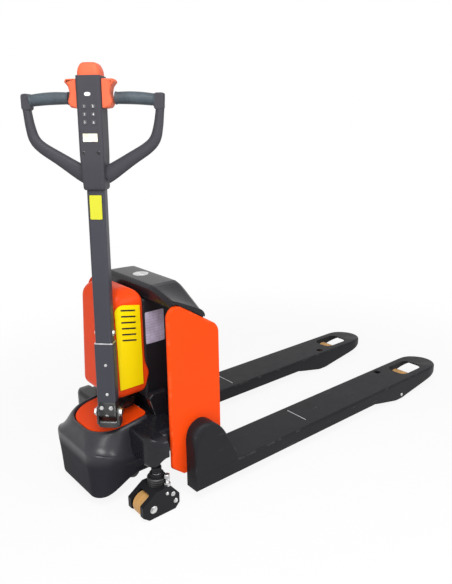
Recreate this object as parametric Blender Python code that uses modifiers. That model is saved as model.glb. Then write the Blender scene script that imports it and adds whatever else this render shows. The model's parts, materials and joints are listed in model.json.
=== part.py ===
"""Electric pallet truck: a steered drive base and tiller, and a fork frame that lifts on load rollers.

Metres, +Z up, forks along +Y, operator at -Y, floor at Z = 0. The origin is the centre of the
truck's footprint. At rest the forks are down and the tiller is upright, turned to the right.
"""

import math

import bmesh
import bpy
from mathutils import Matrix, Vector

GAP = 0.0003
OVER = 0.020
FOOTPRINT_SHIFT = 0.01035
SIDES = ((1, "right"), (-1, "left"))

# Forks: overall width, blade width, heights, heel and tip
FORK_OUTER = 0.275
FORK_WIDTH = 0.150
FORK_INNER = FORK_OUTER - FORK_WIDTH
FORK_MID = FORK_OUTER - FORK_WIDTH / 2
FORK_TOP = 0.085
FORK_EDGE = 0.0405
FORK_SKIRT = 0.012
FORK_STEEL = 0.005
FORK_HEEL_Y = -0.517
FORK_TIP_Y = 0.790
TIP_CURVE_Y = 0.720
TIP_POWER = 2.2
TIP_STEPS = 9
NOSE_SOLID_Y, NOSE_EDGE = 0.715, 0.058
HEEL_TOP, HEEL_SEAT_Y, HEEL_CORNER_Y = 0.084, -0.353, -0.462

# The skirt's fall and rise along the fork, the roller slot and the lever hole in its top
SKIRT_FALL = (0.336, 0.420)
SKIRT_RISE = (0.515, 0.600)
SLOT_Y = (0.600, 0.645)
SLOT_R = 0.043
TOP_CUT = (0.060, 0.100)
LEVER_HOLE_X, LEVER_HOLE_Y, LEVER_HOLE_HALF = 0.156, 0.499, 0.012

# Hooded gusset at the heel
GUSSET_FRONT_Y, GUSSET_LOW_FRONT = -0.380, 0.140
HOOD_Y, HOOD_Z, HOOD_R = -0.452, 0.178, 0.068

# Load wheel linkage
ARM_PIVOT_Y, ARM_PIVOT_Z = 0.455, 0.045
ROLLER_Y, ROLLER_R, ROLLER_WIDTH = 0.600, 0.037, 0.068
PIN_R = 0.008
ARM_SIDE, ARM_CHEEK = 0.050, 0.010
ARM_BAR_Y, ARM_BAR_Z = (0.443, 0.478), (0.032, 0.055)
CHEEK_Y, CHEEK_Z = (0.460, 0.616), (0.030, 0.056)
LEVER_Y, LEVER_Z, LEVER_HALF = (0.450, 0.460), (0.050, 0.073), 0.010
ROCKER_Y, ROCKER_Z, ROCKER_SHAFT_R = -0.440, 0.050, 0.012
ROCKER_LOW, ROCKER_HIGH, ROCKER_THICK = 0.045, 0.0735, 0.007
ROD_Z, ROD_R = 0.068, 0.006
ROD_END_GAPS = (0.015, 0.013)

# Fork frame above the forks
PANEL_X, PANEL_STEEL = 0.227, 0.010
PANEL_REAR_Y, PANEL_FRONT_Y = -0.567, -0.385
PANEL_TOP, PANEL_LOW_TOP, PANEL_CORNER = 0.611, 0.533, 0.034
PANEL_FOOT_Y, PANEL_FOOT_Z = -0.528, 0.120
FRAME_INSIDE = PANEL_X - PANEL_STEEL - GAP
BULKHEAD_STEEL, BULKHEAD_LOW, BULKHEAD_TOP = 0.012, 0.092, 0.510
BRIDGE_REACH, BRIDGE_TOP = 0.030, 0.100
BOX_HALF, BOX_REAR_Y, BOX_FRONT_Y = 0.090, -0.560, -0.410
BOX_BOTTOM, BOX_TOP, BOX_WALL = 0.292, 0.600, 0.003
BODY_HALF, BODY_REAR_Y, BODY_ROUND, BODY_INSET = 0.098, -0.680, 0.040, 0.0195
BODY_BOTTOM, BODY_TOP = 0.316, 0.640
ARCH_TOP, ARCH_FLAT_HALF = 0.645, 0.125
ARCH_REAR_Y, ARCH_FRONT_Y = -0.550, -0.430
ARCH_SHOULDER, ARCH_FOOT = 0.604, 0.520
ARCH_FOOT_X, ARCH_INNER_X = 0.185, 0.112

# What the frame and the front body carry
BRACKET_HALF, BRACKET_DEPTH, BRACKET_Z = 0.085, 0.022, (0.530, 0.548)
BATTERY_LOW, BATTERY_HIGH = (-0.082, -0.490, 0.300), (0.082, -0.416, 0.525)
VENT_Y, VENT_Z, VENT_CORNER, VENT_THICK = (-0.652, -0.575), (0.347, 0.590), 0.012, 0.004
LOUVRES, LOUVRE_TOP, LOUVRE_PITCH, LOUVRE_HEIGHT = 6, 0.566, 0.0175, 0.004
LOUVRE_Y = (-0.634, -0.592)
PLATE_Y, PLATE_Z, PLATE_THICK = (-0.552, -0.487), (0.461, 0.559), 0.001
PUMP_X, PUMP_Y, PUMP_R, PUMP_Z = -0.040, -0.618, 0.034, (0.400, 0.580)
TANK_LOW, TANK_HIGH = (0.005, -0.652, 0.400), (0.074, -0.585, 0.580)
CONTROLLER_LOW, CONTROLLER_HIGH = (-0.074, -0.652, 0.330), (0.074, -0.585, 0.385)
RAM_Y, RAM_R, RAM_FOOT = -0.515, 0.012, 0.260
BARREL_R, BARREL_TOP, BARREL_FLOOR = 0.020, 0.420, 0.255

# Drive base
STEER_Y = -0.582
STEER_REST = math.radians(45.0)
COVER_FRONT_Y = -0.578
COVER_WALL, COVER_BOTTOM = 0.004, 0.040
COVER_TOP_Z, COVER_TOP_Y, COVER_SLOPE = 0.2565, -0.570, 0.121
COVER_OPEN_HALF, COVER_OPEN_TOP = 0.130, 0.238
INSET_HALF, INSET_ROUND, INSET_REAR_Y = 0.100, 0.058, -0.716
INSET_FRONT_Y, INSET_CHAMFER, INSET_THICK = -0.592, 0.011, 0.004
BASE_LOW, BASE_HIGH = 0.219, 0.2335
PLATE_HALF, PLATE_BACK_Y, PLATE_END_Y = 0.104, -0.678, -0.500
TAIL_HALF, TAIL_REAR_Y, TAIL_FRONT_Y = 0.120, -0.574, -0.505
WING_LOW, WING_HIGH, WING_INNER, WING_OUTER = 0.140, 0.205, 0.092, 0.242
WING_Y = (-0.645, -0.585)
POST_X, POST_Y, POST_TOP = (0.100, 0.120), (-0.541, -0.506), 0.312
JOIN = 0.005
RING_R, RING_BOTTOM = 0.075, 0.209
COLUMN_HOLE_R = 0.046
NOTCH_X, NOTCH_Y, NOTCH_TOP = (0.100, 0.160), -0.648, 0.208
CASTER_SWEEP_R, CASTER_SWEEP_TOP = 0.092, 0.100

# Steered drive
COLUMN_R = 0.030
WHEEL_R, WHEEL_WIDTH = 0.095, 0.070
HUB_R, HUB_AXLE_R, HUB_AXLE_HALF = 0.060, 0.012, 0.0555
YOKE_HALF, YOKE_LEG, YOKE_DEPTH = 0.056, 0.012, 0.045
YOKE_Z, LEG_Z, LEG_DEPTH = (0.196, 0.2087), (0.060, 0.200), 0.030
GEARBOX_X, GEARBOX_DEPTH, GEARBOX_Z = (0.050, 0.080), 0.042, (0.050, 0.135)
MOTOR_END, MOTOR_R = 0.112, 0.040

# Stabiliser casters
CASTER_X, CASTER_Y, CASTER_WHEEL_Y, CASTER_R = 0.214, -0.615, -0.655, 0.034
CASTER_HALF, CASTER_SLOT_HALF, CASTER_WHEEL_HALF = 0.040, 0.024, 0.021
CASTER_OUTLINE = (
    (-0.075, 0.020), (-0.055, 0.004), (0.035, 0.004), (0.050, 0.020),
    (0.050, 0.050), (0.022, 0.085), (-0.026, 0.085), (-0.075, 0.052),
)
CASTER_SLOT_Y, CASTER_SLOT_TOP = (-0.090, 0.012), 0.074
CASTER_AXLE_R = 0.006
STEM_R, STEM_NECK_R, STEM_TOP = 0.021, 0.015, 0.120
BOLT_PLACE, BOLT_R, BOLT_Z = (0.030, 0.016), 0.005, (0.0855, 0.122)

# Tiller: pivot radius and height, upright lean towards the truck, lengths along the pole
PIVOT_RADIUS, PIVOT_Z = 0.175, 0.309
ARM_HALF, ARM_REACH, ARM_LOW, ARM_HIGH = 0.036, 0.192, 0.264, 0.284
EAR_INNER, EAR_FRONT, EAR_TOP = 0.0295, 0.017, 0.326
TILLER_PIN_HALF = 0.040
TILLER_LEAN = math.radians(3.0)
SLEEVE_HALF, SLEEVE_DEPTH, SLEEVE_FOOT, SLEEVE_TOP = 0.0285, 0.022, -0.010, 0.205
POLE_HALF, POLE_DEPTH, POLE_TOP = 0.0255, 0.020, 0.617
HEAD_HALF, HEAD_REAR, HEAD_FRONT, HEAD_TOP = 0.031, -0.035, 0.028, 0.893
GRIP_Z, GRIP_R, GRIP_IN, GRIP_OUT = 0.839, 0.0155, 0.067, 0.159
LOOP_R = 0.0115
LOOP_ROUTE = (
    (0.168, GRIP_Z), (0.1735, 0.831), (0.1745, 0.816), (0.173, 0.776), (0.168, 0.735),
    (0.155, 0.712), (0.080, 0.664), (0.045, 0.645), (HEAD_HALF + GAP, 0.645),
)
THROTTLE_Z, PADDLE_GAP = 0.850, 0.001
PADDLE_OUTLINE = (
    (-0.020, -0.028), (0.014, -0.034), (0.018, 0.020), (-0.004, 0.036), (-0.026, 0.022),
)
BUTTON_HALF = ((0.033, 0.0075), (0.030, 0.022), (0.021, 0.034))
BUTTON_Y = (-0.036, 0.026)
KEY_SIZE, KEY_PITCH_X, KEY_PITCH_Z, KEY_TOP_Z = 0.011, 0.022, 0.019, 0.8205
KEY_PROUD, KEY_SEAT, KEY_POCKET = 0.0025, 0.0015, 0.004

FINISHES = {
    "orange_paint": ((0.90, 0.090, 0.014), 0.35, 0.0),
    "orange_plastic": ((0.82, 0.075, 0.025), 0.40, 0.0),
    "yellow_paint": ((1.0, 0.70, 0.0), 0.40, 0.0),
    "black_plastic": ((0.028, 0.029, 0.034), 0.35, 0.0),
    "fork_paint": ((0.027, 0.027, 0.030), 0.45, 0.0),
    "pole_paint": ((0.058, 0.061, 0.076), 0.40, 0.0),
    "grip_rubber": ((0.070, 0.088, 0.105), 0.60, 0.0),
    "roller_pu": ((0.65, 0.36, 0.115), 0.50, 0.0),
    "drive_rubber": ((0.04, 0.04, 0.042), 0.75, 0.0),
    "zinc_steel": ((0.62, 0.62, 0.60), 0.35, 1.0),
    "dark_steel": ((0.10, 0.10, 0.11), 0.45, 0.8),
    "plate_foil": ((0.40, 0.38, 0.51), 0.35, 0.3),
}


def fresh_collections():
    """An empty scene with one collection for the truck and one for its cutters."""
    for obj in list(bpy.data.objects):
        bpy.data.objects.remove(obj, do_unlink=True)
    made = []
    for name in ("electric_pallet_truck", "cutters"):
        collection = bpy.data.collections.new(name)
        bpy.context.scene.collection.children.link(collection)
        made.append(collection)
    return made


TRUCK, CUTTERS = fresh_collections()


def material(name):
    """The Principled material of one finish, made once."""
    if name in bpy.data.materials:
        return bpy.data.materials[name]
    colour, roughness, metallic = FINISHES[name]
    made = bpy.data.materials.new(name)
    made.use_nodes = True
    shader = made.node_tree.nodes["Principled BSDF"]
    shader.inputs["Base Color"].default_value = (*colour, 1.0)
    shader.inputs["Roughness"].default_value = roughness
    shader.inputs["Metallic"].default_value = metallic
    return made


def pivot(name, location, turn=(0, 0, 0), parent=None):
    """An empty on a joint's axis, which carries the pieces that move about it."""
    empty = bpy.data.objects.new(name, None)
    empty.location = location
    empty.rotation_euler = turn
    empty.parent = parent
    TRUCK.objects.link(empty)
    return empty


def piece(name, mesh, finish, parent=None, origin=(0, 0, 0), smooth=False):
    """One named part, or a cutter when finish is None, with its own origin."""
    mesh.transform(Matrix.Translation(-Vector(origin)))
    if smooth:
        mesh.shade_smooth()
        mesh.set_sharp_from_angle(angle=math.radians(35))
    obj = bpy.data.objects.new(name, mesh)
    obj.location = origin
    obj.parent = parent
    if finish is None:
        obj.hide_render = True
        obj.display_type = "WIRE"
        CUTTERS.objects.link(obj)
        return obj
    own = material(finish).copy()
    own.name = f"{name}_{finish}"
    mesh.materials.append(own)
    TRUCK.objects.link(obj)
    return obj


def to_mesh(bm, name):
    bmesh.ops.recalc_face_normals(bm, faces=bm.faces)
    mesh = bpy.data.meshes.new(name)
    bm.to_mesh(mesh)
    bm.free()
    return mesh


def box(name, low, high):
    """A box mesh between two corners."""
    bm = bmesh.new()
    bmesh.ops.create_cube(bm, size=1.0)
    low, high = Vector(low), Vector(high)
    bmesh.ops.scale(bm, vec=high - low, verts=bm.verts)
    bmesh.ops.translate(bm, vec=(low + high) / 2, verts=bm.verts)
    return to_mesh(bm, name)


def side_box(name, side, x_range, y_range, z_range):
    """A box given by its ranges, on the right of the truck or mirrored to the left."""
    low, high = sorted(side * x for x in x_range)
    return box(name, (low, y_range[0], z_range[0]), (high, y_range[1], z_range[1]))


def rod(name, start, end, radius, sides=24):
    """A cylinder mesh between the centres of its two ends."""
    start, end = Vector(start), Vector(end)
    along = end - start
    bm = bmesh.new()
    bmesh.ops.create_cone(
        bm, cap_ends=True, segments=sides, radius1=radius, radius2=radius, depth=along.length
    )
    turn = along.to_track_quat("Z", "Y").to_matrix().to_4x4()
    bmesh.ops.transform(bm, matrix=Matrix.Translation((start + end) / 2) @ turn, verts=bm.verts)
    return to_mesh(bm, name)


def cross_rod(name, x, half, place, radius, sides=24):
    """A cylinder along X, centred on x, through place in Y and Z."""
    return rod(name, (x - half, *place), (x + half, *place), radius, sides)


def upright_rod(name, place, z_range, radius, sides=24):
    """A cylinder along Z through place in X and Y."""
    return rod(name, (*place, z_range[0]), (*place, z_range[1]), radius, sides)


def slab(name, outline, low, high, axis):
    """A flat outline given thickness along X, Y or Z.

    The outline is in the two other axes in X, Y, Z order.
    """
    curve = bpy.data.curves.new(name, "CURVE")
    curve.dimensions = "2D"
    curve.fill_mode = "BOTH"
    curve.extrude = (high - low) / 2
    spline = curve.splines.new("POLY")
    spline.points.add(len(outline) - 1)
    for point, (u, v) in zip(spline.points, outline):
        point.co = (u, v, 0, 1)
    spline.use_cyclic_u = True
    mesh = curve_mesh(curve)
    turns = {
        "X": Matrix(((0, 0, 1, 0), (1, 0, 0, 0), (0, 1, 0, 0), (0, 0, 0, 1))),
        "Y": Matrix(((1, 0, 0, 0), (0, 0, -1, 0), (0, 1, 0, 0), (0, 0, 0, 1))),
        "Z": Matrix.Identity(4),
    }
    shift = {"X": (1, 0, 0), "Y": (0, 1, 0), "Z": (0, 0, 1)}[axis]
    mesh.transform(Matrix.Translation(Vector(shift) * (low + high) / 2) @ turns[axis])
    return mesh


def tube(name, points, radius):
    """A round bar mesh along points."""
    curve = bpy.data.curves.new(name, "CURVE")
    curve.dimensions = "3D"
    curve.bevel_depth = radius
    curve.bevel_resolution = 2
    curve.use_fill_caps = True
    spline = curve.splines.new("POLY")
    spline.points.add(len(points) - 1)
    for point, place in zip(spline.points, points):
        point.co = (*place, 1)
    return curve_mesh(curve)


def curve_mesh(curve):
    """The evaluated mesh of a curve, with its caps welded on."""
    guide = bpy.data.objects.new(curve.name, curve)
    bpy.context.scene.collection.objects.link(guide)
    graph = bpy.context.evaluated_depsgraph_get()
    mesh = bpy.data.meshes.new_from_object(guide.evaluated_get(graph))
    bpy.data.objects.remove(guide)
    bm = bmesh.new()
    bm.from_mesh(mesh)
    bmesh.ops.remove_doubles(bm, verts=bm.verts, dist=1e-6)
    bmesh.ops.recalc_face_normals(bm, faces=bm.faces)
    bm.to_mesh(mesh)
    bm.free()
    return mesh


def loft(name, sections):
    """A closed solid through stacked sections of equal point counts."""
    bm = bmesh.new()
    rings = [[bm.verts.new(point) for point in section] for section in sections]
    for lower, upper in zip(rings, rings[1:]):
        for i in range(len(lower)):
            j = (i + 1) % len(lower)
            bm.faces.new((lower[i], lower[j], upper[j], upper[i]))
    bm.faces.new(rings[0])
    bm.faces.new(rings[-1])
    return to_mesh(bm, name)


def combine(obj, mesh, operation="DIFFERENCE", parent=None):
    """Cuts a cutter mesh from a part, or joins it on."""
    cutter = piece(f"{obj.name}_{operation.lower()}_{len(obj.modifiers)}", mesh, None, parent)
    modifier = obj.modifiers.new(cutter.name, "BOOLEAN")
    modifier.operation = operation
    modifier.object = cutter
    return obj


def bevel(obj, width, segments=2):
    modifier = obj.modifiers.new("edges", "BEVEL")
    modifier.width = width
    modifier.segments = segments
    modifier.limit_method = "ANGLE"
    return obj


def arc(centre, radius, start_deg, end_deg, steps):
    """Points on a circle from one angle to another."""
    angles = [math.radians(start_deg + (end_deg - start_deg) * i / steps) for i in range(steps + 1)]
    return [(centre[0] + radius * math.cos(a), centre[1] + radius * math.sin(a)) for a in angles]


def fork_plan():
    """Plan of one fork about its own centre line: straight sides and a superelliptic tip."""
    half = FORK_WIDTH / 2
    reach = FORK_TIP_Y - TIP_CURVE_Y
    tip = []
    for i in range(1, 2 * TIP_STEPS):
        angle = math.pi * i / (2 * TIP_STEPS)
        across, along = math.cos(angle), math.sin(angle)
        tip.append((
            half * math.copysign(abs(across) ** (2 / TIP_POWER), across),
            TIP_CURVE_Y + reach * along ** (2 / TIP_POWER),
        ))
    heel = [(-half, FORK_HEEL_Y), (half, FORK_HEEL_Y)]
    return heel + [(half, TIP_CURVE_Y)] + tip + [(-half, TIP_CURVE_Y)]


def fork(side, label):
    """A fork blade: an open-bottomed steel channel with a skirt at the wheel arm and a solid nose."""
    middle = side * FORK_MID
    plan = [(x + middle, y) for x, y in fork_plan()]
    blade = piece(
        f"fork_{label}", slab("blade", plan, FORK_SKIRT, FORK_TOP, "Z"), "fork_paint", FRAME_AXIS
    )
    half = FORK_WIDTH / 2 - FORK_STEEL
    combine(blade, box(
        "channel",
        (middle - half, FORK_HEEL_Y + 2 * FORK_STEEL, 0),
        (middle + half, NOSE_SOLID_Y, FORK_TOP - FORK_STEEL),
    ))
    heel, tip = FORK_HEEL_Y - OVER, FORK_TIP_Y + OVER
    below = [
        (heel, 0), (heel, FORK_EDGE), (SKIRT_FALL[0], FORK_EDGE), (SKIRT_FALL[1], FORK_SKIRT),
        (SKIRT_RISE[0], FORK_SKIRT), (SKIRT_RISE[1], FORK_EDGE), (tip, NOSE_EDGE), (tip, 0),
    ]
    wide = FORK_WIDTH / 2 + OVER
    combine(blade, slab("skirt_line", below, middle - wide, middle + wide, "X"))
    combine(blade, box(
        "heel_seat", (middle - wide, heel, HEEL_TOP), (middle + wide, HEEL_SEAT_Y, FORK_TOP + OVER)
    ))
    corner_x = (FORK_INNER - OVER, PANEL_X)
    combine(blade, side_box("heel_corner", side, corner_x, (heel, HEEL_CORNER_Y), (0, FORK_TOP + OVER)))
    slot = arc((middle, SLOT_Y[1]), SLOT_R, 0, 180, 8) + arc((middle, SLOT_Y[0]), SLOT_R, 180, 360, 8)
    combine(blade, slab("roller_slot", slot, *TOP_CUT, "Z"))
    hole_x = (LEVER_HOLE_X - LEVER_HOLE_HALF, LEVER_HOLE_X + LEVER_HOLE_HALF)
    hole_y = (LEVER_HOLE_Y - LEVER_HOLE_HALF, LEVER_HOLE_Y + LEVER_HOLE_HALF)
    combine(blade, side_box("lever_hole", side, hole_x, hole_y, TOP_CUT))
    combine(blade, cross_rod(
        "shaft_hole", side * FORK_INNER, OVER, (ROCKER_Y, ROCKER_Z), ROCKER_SHAFT_R + GAP
    ))
    return blade


def heel_gusset(side, label):
    """The hooded gusset outside the side panel, where the fork meets the frame."""
    foot = HEEL_TOP + GAP
    outline = [(FORK_HEEL_Y, foot), (GUSSET_FRONT_Y, foot), (GUSSET_FRONT_Y, GUSSET_LOW_FRONT)]
    outline += arc((HOOD_Y, HOOD_Z), HOOD_R, 0, 180, 10) + [(FORK_HEEL_Y, HOOD_Z)]
    low, high = sorted((side * (PANEL_X + GAP), side * FORK_OUTER))
    gusset = slab("gusset", outline, low, high, "X")
    return bevel(piece(f"heel_gusset_{label}", gusset, "fork_paint", FRAME_AXIS), 0.006)


def side_panel(side, label):
    """A frame side plate with a rounded rear corner and a top that slopes down to the forks."""
    foot = HEEL_TOP + GAP
    rear = (PANEL_REAR_Y + PANEL_CORNER, PANEL_TOP - PANEL_CORNER)
    front = (PANEL_FRONT_Y - PANEL_CORNER, PANEL_LOW_TOP - PANEL_CORNER)
    outline = [(PANEL_FOOT_Y, foot), (PANEL_REAR_Y, PANEL_FOOT_Z)]
    outline += arc(rear, PANEL_CORNER, 180, 70, 5) + arc(front, PANEL_CORNER, 58, 0, 4)
    outline += [(PANEL_FRONT_Y, foot)]
    low, high = sorted((side * (PANEL_X - PANEL_STEEL), side * PANEL_X))
    panel = slab("panel", outline, low, high, "X")
    return piece(f"side_panel_{label}", panel, "orange_paint", FRAME_AXIS)


def frame_cover():
    """The bulkhead, the arch over it, the battery box and the vented front body."""
    wall_y = BOX_FRONT_Y + BULKHEAD_STEEL
    bulkhead = piece(
        "bulkhead",
        box(
            "bulkhead",
            (-FRAME_INSIDE, wall_y, BULKHEAD_LOW),
            (FRAME_INSIDE, wall_y + BULKHEAD_STEEL, BULKHEAD_TOP),
        ),
        "fork_paint", FRAME_AXIS,
    )
    combine(bulkhead, box(
        "fork_bridge",
        (-FRAME_INSIDE, wall_y, HEEL_TOP + GAP),
        (FRAME_INSIDE, PANEL_FRONT_Y + BRIDGE_REACH, BRIDGE_TOP),
    ), "UNION")
    half = [
        (ARCH_FLAT_HALF, ARCH_TOP), (FRAME_INSIDE, ARCH_SHOULDER), (FRAME_INSIDE, ARCH_FOOT),
        (ARCH_FOOT_X, ARCH_FOOT), (ARCH_INNER_X, BOX_TOP + 0.004),
    ]
    outline = half + [(-x, z) for x, z in reversed(half)]
    arch = slab("arch", outline, ARCH_REAR_Y, ARCH_FRONT_Y, "Y")
    piece("arch_cover", arch, "black_plastic", FRAME_AXIS)
    shell = piece(
        "power_box",
        box("power_box", (-BOX_HALF, BOX_REAR_Y, BOX_BOTTOM), (BOX_HALF, BOX_FRONT_Y, BOX_TOP)),
        "black_plastic", FRAME_AXIS,
    )
    combine(shell, box(
        "box_inside",
        (BOX_WALL - BOX_HALF, BOX_REAR_Y + BOX_WALL, BOX_BOTTOM - OVER),
        (BOX_HALF - BOX_WALL, BOX_FRONT_Y - BOX_WALL, BOX_TOP - BOX_WALL),
    ))
    body = piece(
        "front_cover",
        box(
            "front_cover",
            (-BODY_HALF, BODY_REAR_Y, BODY_BOTTOM),
            (BODY_HALF, BOX_REAR_Y - GAP, BODY_TOP),
        ),
        "orange_plastic", FRAME_AXIS,
    )
    bevel(body, BODY_ROUND, 4)
    combine(body, box(
        "cover_inside",
        (BODY_INSET - BODY_HALF, BODY_REAR_Y + BODY_INSET, BODY_BOTTOM - OVER),
        (BODY_HALF - BODY_INSET, BOX_REAR_Y - BODY_INSET, BODY_TOP - BODY_INSET),
    ))


def body_fittings():
    """The vented side panel, the rating plate, and what the frame and the front body hold."""
    vent_x = BODY_HALF + GAP
    corner = (VENT_Y[0] + VENT_CORNER, VENT_Z[1] - VENT_CORNER)
    outline = [(VENT_Y[0], VENT_Z[0]), (VENT_Y[1], VENT_Z[0]), (VENT_Y[1], VENT_Z[1])]
    outline += arc(corner, VENT_CORNER, 90, 180, 4)
    sheet = slab("vent", outline, vent_x, vent_x + VENT_THICK, "X")
    vent = piece("vent_panel", sheet, "yellow_paint", FRAME_AXIS)
    for row in range(LOUVRES):
        z = LOUVRE_TOP - LOUVRE_PITCH * row
        combine(vent, box(
            f"louvre_{row}",
            (vent_x - OVER, LOUVRE_Y[0], z),
            (vent_x + OVER, LOUVRE_Y[1], z + LOUVRE_HEIGHT),
        ))
    plate_x = (BOX_HALF + GAP, BOX_HALF + GAP + PLATE_THICK)
    piece("data_plate", side_box("plate", 1, plate_x, PLATE_Y, PLATE_Z), "plate_foil", FRAME_AXIS)
    bracket_y = (RAM_Y - BRACKET_DEPTH, RAM_Y + BRACKET_DEPTH)
    bracket = side_box("bracket", 1, (-BRACKET_HALF, BRACKET_HALF), bracket_y, BRACKET_Z)
    piece("lift_bracket", bracket, "dark_steel", FRAME_AXIS)
    piece("battery_pack", box("battery", BATTERY_LOW, BATTERY_HIGH), "black_plastic", FRAME_AXIS)
    pump = upright_rod("pump", (PUMP_X, PUMP_Y), PUMP_Z, PUMP_R)
    piece("pump_motor", pump, "dark_steel", FRAME_AXIS, smooth=True)
    piece("hydraulic_tank", box("tank", TANK_LOW, TANK_HIGH), "black_plastic", FRAME_AXIS)
    controller = box("controller", CONTROLLER_LOW, CONTROLLER_HIGH)
    piece("motor_controller", controller, "dark_steel", FRAME_AXIS)
    ram = upright_rod("ram", (0, RAM_Y), (RAM_FOOT, BRACKET_Z[0] - GAP), RAM_R)
    piece("lift_ram", ram, "zinc_steel", FRAME_AXIS, smooth=True)


def load_wheel(side, label):
    """One fork's linkage: push rod, wheel arm on its pin, and the load roller."""
    x = side * FORK_MID
    rod_start = (x, ROCKER_Y + ROD_END_GAPS[0], ROD_Z)
    rod_end = (x, ARM_PIVOT_Y - ROD_END_GAPS[1], ROD_Z)
    piece(
        f"push_rod_{label}", rod("push_rod", rod_start, rod_end, ROD_R, 12),
        "dark_steel", FRAME_AXIS, (x, ROCKER_Y, ROD_Z), smooth=True,
    )
    pin = (ARM_PIVOT_Y, ARM_PIVOT_Z)
    inside = FORK_WIDTH / 2 - FORK_STEEL - GAP
    piece(
        f"arm_pin_{label}", cross_rod("arm_pin", x, inside, pin, PIN_R, 16),
        "zinc_steel", FRAME_AXIS, smooth=True,
    )
    bar_low, bar_high = zip((x - ARM_SIDE, x + ARM_SIDE), ARM_BAR_Y, ARM_BAR_Z)
    arm = piece(
        f"wheel_arm_{label}", box("arm_bar", bar_low, bar_high), "fork_paint", FRAME_AXIS, (x, *pin)
    )
    for sign in (-1, 1):
        low, high = sorted((x + sign * (ARM_SIDE - ARM_CHEEK), x + sign * ARM_SIDE))
        cheek = box("cheek", (low, CHEEK_Y[0], CHEEK_Z[0]), (high, CHEEK_Y[1], CHEEK_Z[1]))
        combine(arm, cheek, "UNION")
    lever_low = (x - LEVER_HALF, LEVER_Y[0], LEVER_Z[0])
    lever_high = (x + LEVER_HALF, LEVER_Y[1], LEVER_Z[1])
    combine(arm, box("lever", lever_low, lever_high), "UNION")
    axle = (ROLLER_Y, ROLLER_R)
    combine(arm, cross_rod("axle", x, ARM_SIDE - ARM_CHEEK / 2, axle, PIN_R, 16), "UNION")
    combine(arm, cross_rod("pin_bore", x, ARM_SIDE + OVER, pin, PIN_R + GAP, 16))
    roller = piece(
        f"load_roller_{label}", cross_rod("roller", x, ROLLER_WIDTH / 2, axle, ROLLER_R, 32),
        "roller_pu", FRAME_AXIS, (x, *axle), smooth=True,
    )
    combine(roller, cross_rod("axle_bore", x, ROLLER_WIDTH / 2 + OVER, axle, PIN_R + GAP, 16))


def rocker_shaft():
    """The cross shaft at the fork heels, with a rocker in each fork that drives its push rod."""
    place = (ROCKER_Y, ROCKER_Z)
    shaft = piece(
        "rocker_shaft", cross_rod("shaft", 0, FORK_MID + LEVER_HALF + 0.002, place, ROCKER_SHAFT_R),
        "dark_steel", FRAME_AXIS, (0, *place), smooth=True,
    )
    across = (FORK_MID - LEVER_HALF, FORK_MID + LEVER_HALF)
    along = (ROCKER_Y - ROCKER_THICK, ROCKER_Y + ROCKER_THICK)
    for side, _ in SIDES:
        rocker = side_box("rocker", side, across, along, (ROCKER_LOW, ROCKER_HIGH))
        combine(shaft, rocker, "UNION")


def drive_base():
    """The fixed base: bearing plate, caster wings, rear posts and the lift barrel."""
    plate_y = (PLATE_BACK_Y, PLATE_END_Y)
    plate = side_box("plate", 1, (-PLATE_HALF, PLATE_HALF), plate_y, (BASE_LOW, BASE_HIGH))
    base = piece("base_frame", plate, "fork_paint")
    tail_y = (TAIL_REAR_Y, TAIL_FRONT_Y)
    tail = side_box("tail", 1, (-TAIL_HALF, TAIL_HALF), tail_y, (BASE_LOW, BASE_HIGH))
    combine(base, tail, "UNION")
    for side, _ in SIDES:
        for name, x_range, y_range, z_range in (
            ("riser", (WING_INNER, PLATE_HALF), WING_Y, (WING_LOW, BASE_LOW + JOIN)),
            ("wing", (WING_INNER, WING_OUTER), WING_Y, (WING_LOW, WING_HIGH)),
            ("post", POST_X, POST_Y, (BASE_LOW + JOIN, POST_TOP)),
        ):
            combine(base, side_box(name, side, x_range, y_range, z_range), "UNION")
    steer, through = (0, STEER_Y), (RING_BOTTOM - OVER, BASE_HIGH + OVER)
    combine(base, upright_rod("column_hole", steer, through, COLUMN_HOLE_R, 32))
    ring = piece(
        "slew_ring", upright_rod("ring", steer, (RING_BOTTOM, BASE_LOW - GAP), RING_R, 32),
        "zinc_steel", smooth=True,
    )
    combine(ring, upright_rod("ring_bore", steer, through, COLUMN_HOLE_R - 0.001, 32))
    ram = (0, RAM_Y)
    barrel = piece(
        "lift_barrel", upright_rod("barrel", ram, (BASE_HIGH + GAP, BARREL_TOP), BARREL_R),
        "dark_steel", smooth=True,
    )
    bore = upright_rod("barrel_bore", ram, (BARREL_FLOOR, BARREL_TOP + OVER), RAM_R + GAP)
    combine(barrel, bore)


def cover_ring(half, rear_y, corner, height):
    """One level of the drive cover: square at the forks side, rounded at the operator's corners."""
    plan = arc((-half + corner, rear_y + corner), corner, 180, 270, 6)
    plan += arc((half - corner, rear_y + corner), corner, 270, 360, 6)
    plan += [(half, COVER_FRONT_Y), (-half, COVER_FRONT_Y)]
    return [(x, y, height(y)) for x, y in plan]


def cover_top(y):
    return COVER_TOP_Z + COVER_SLOPE * (y - COVER_TOP_Y)


def cover_solid(name, inset, bottom):
    """The drive cover's outer form, or its hollow when inset by the wall."""
    levels = (
        (0.118, -0.750, 0.066, lambda y: bottom),
        (0.138, -0.768, 0.088, lambda y: 0.100),
        (0.140, -0.770, 0.092, lambda y: 0.150),
        (0.136, -0.760, 0.092, lambda y: 0.196),
        (0.116, -0.732, 0.079, lambda y: cover_top(y) - inset),
    )
    return loft(name, [cover_ring(h - inset, y + inset, c - inset, z) for h, y, c, z in levels])


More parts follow.
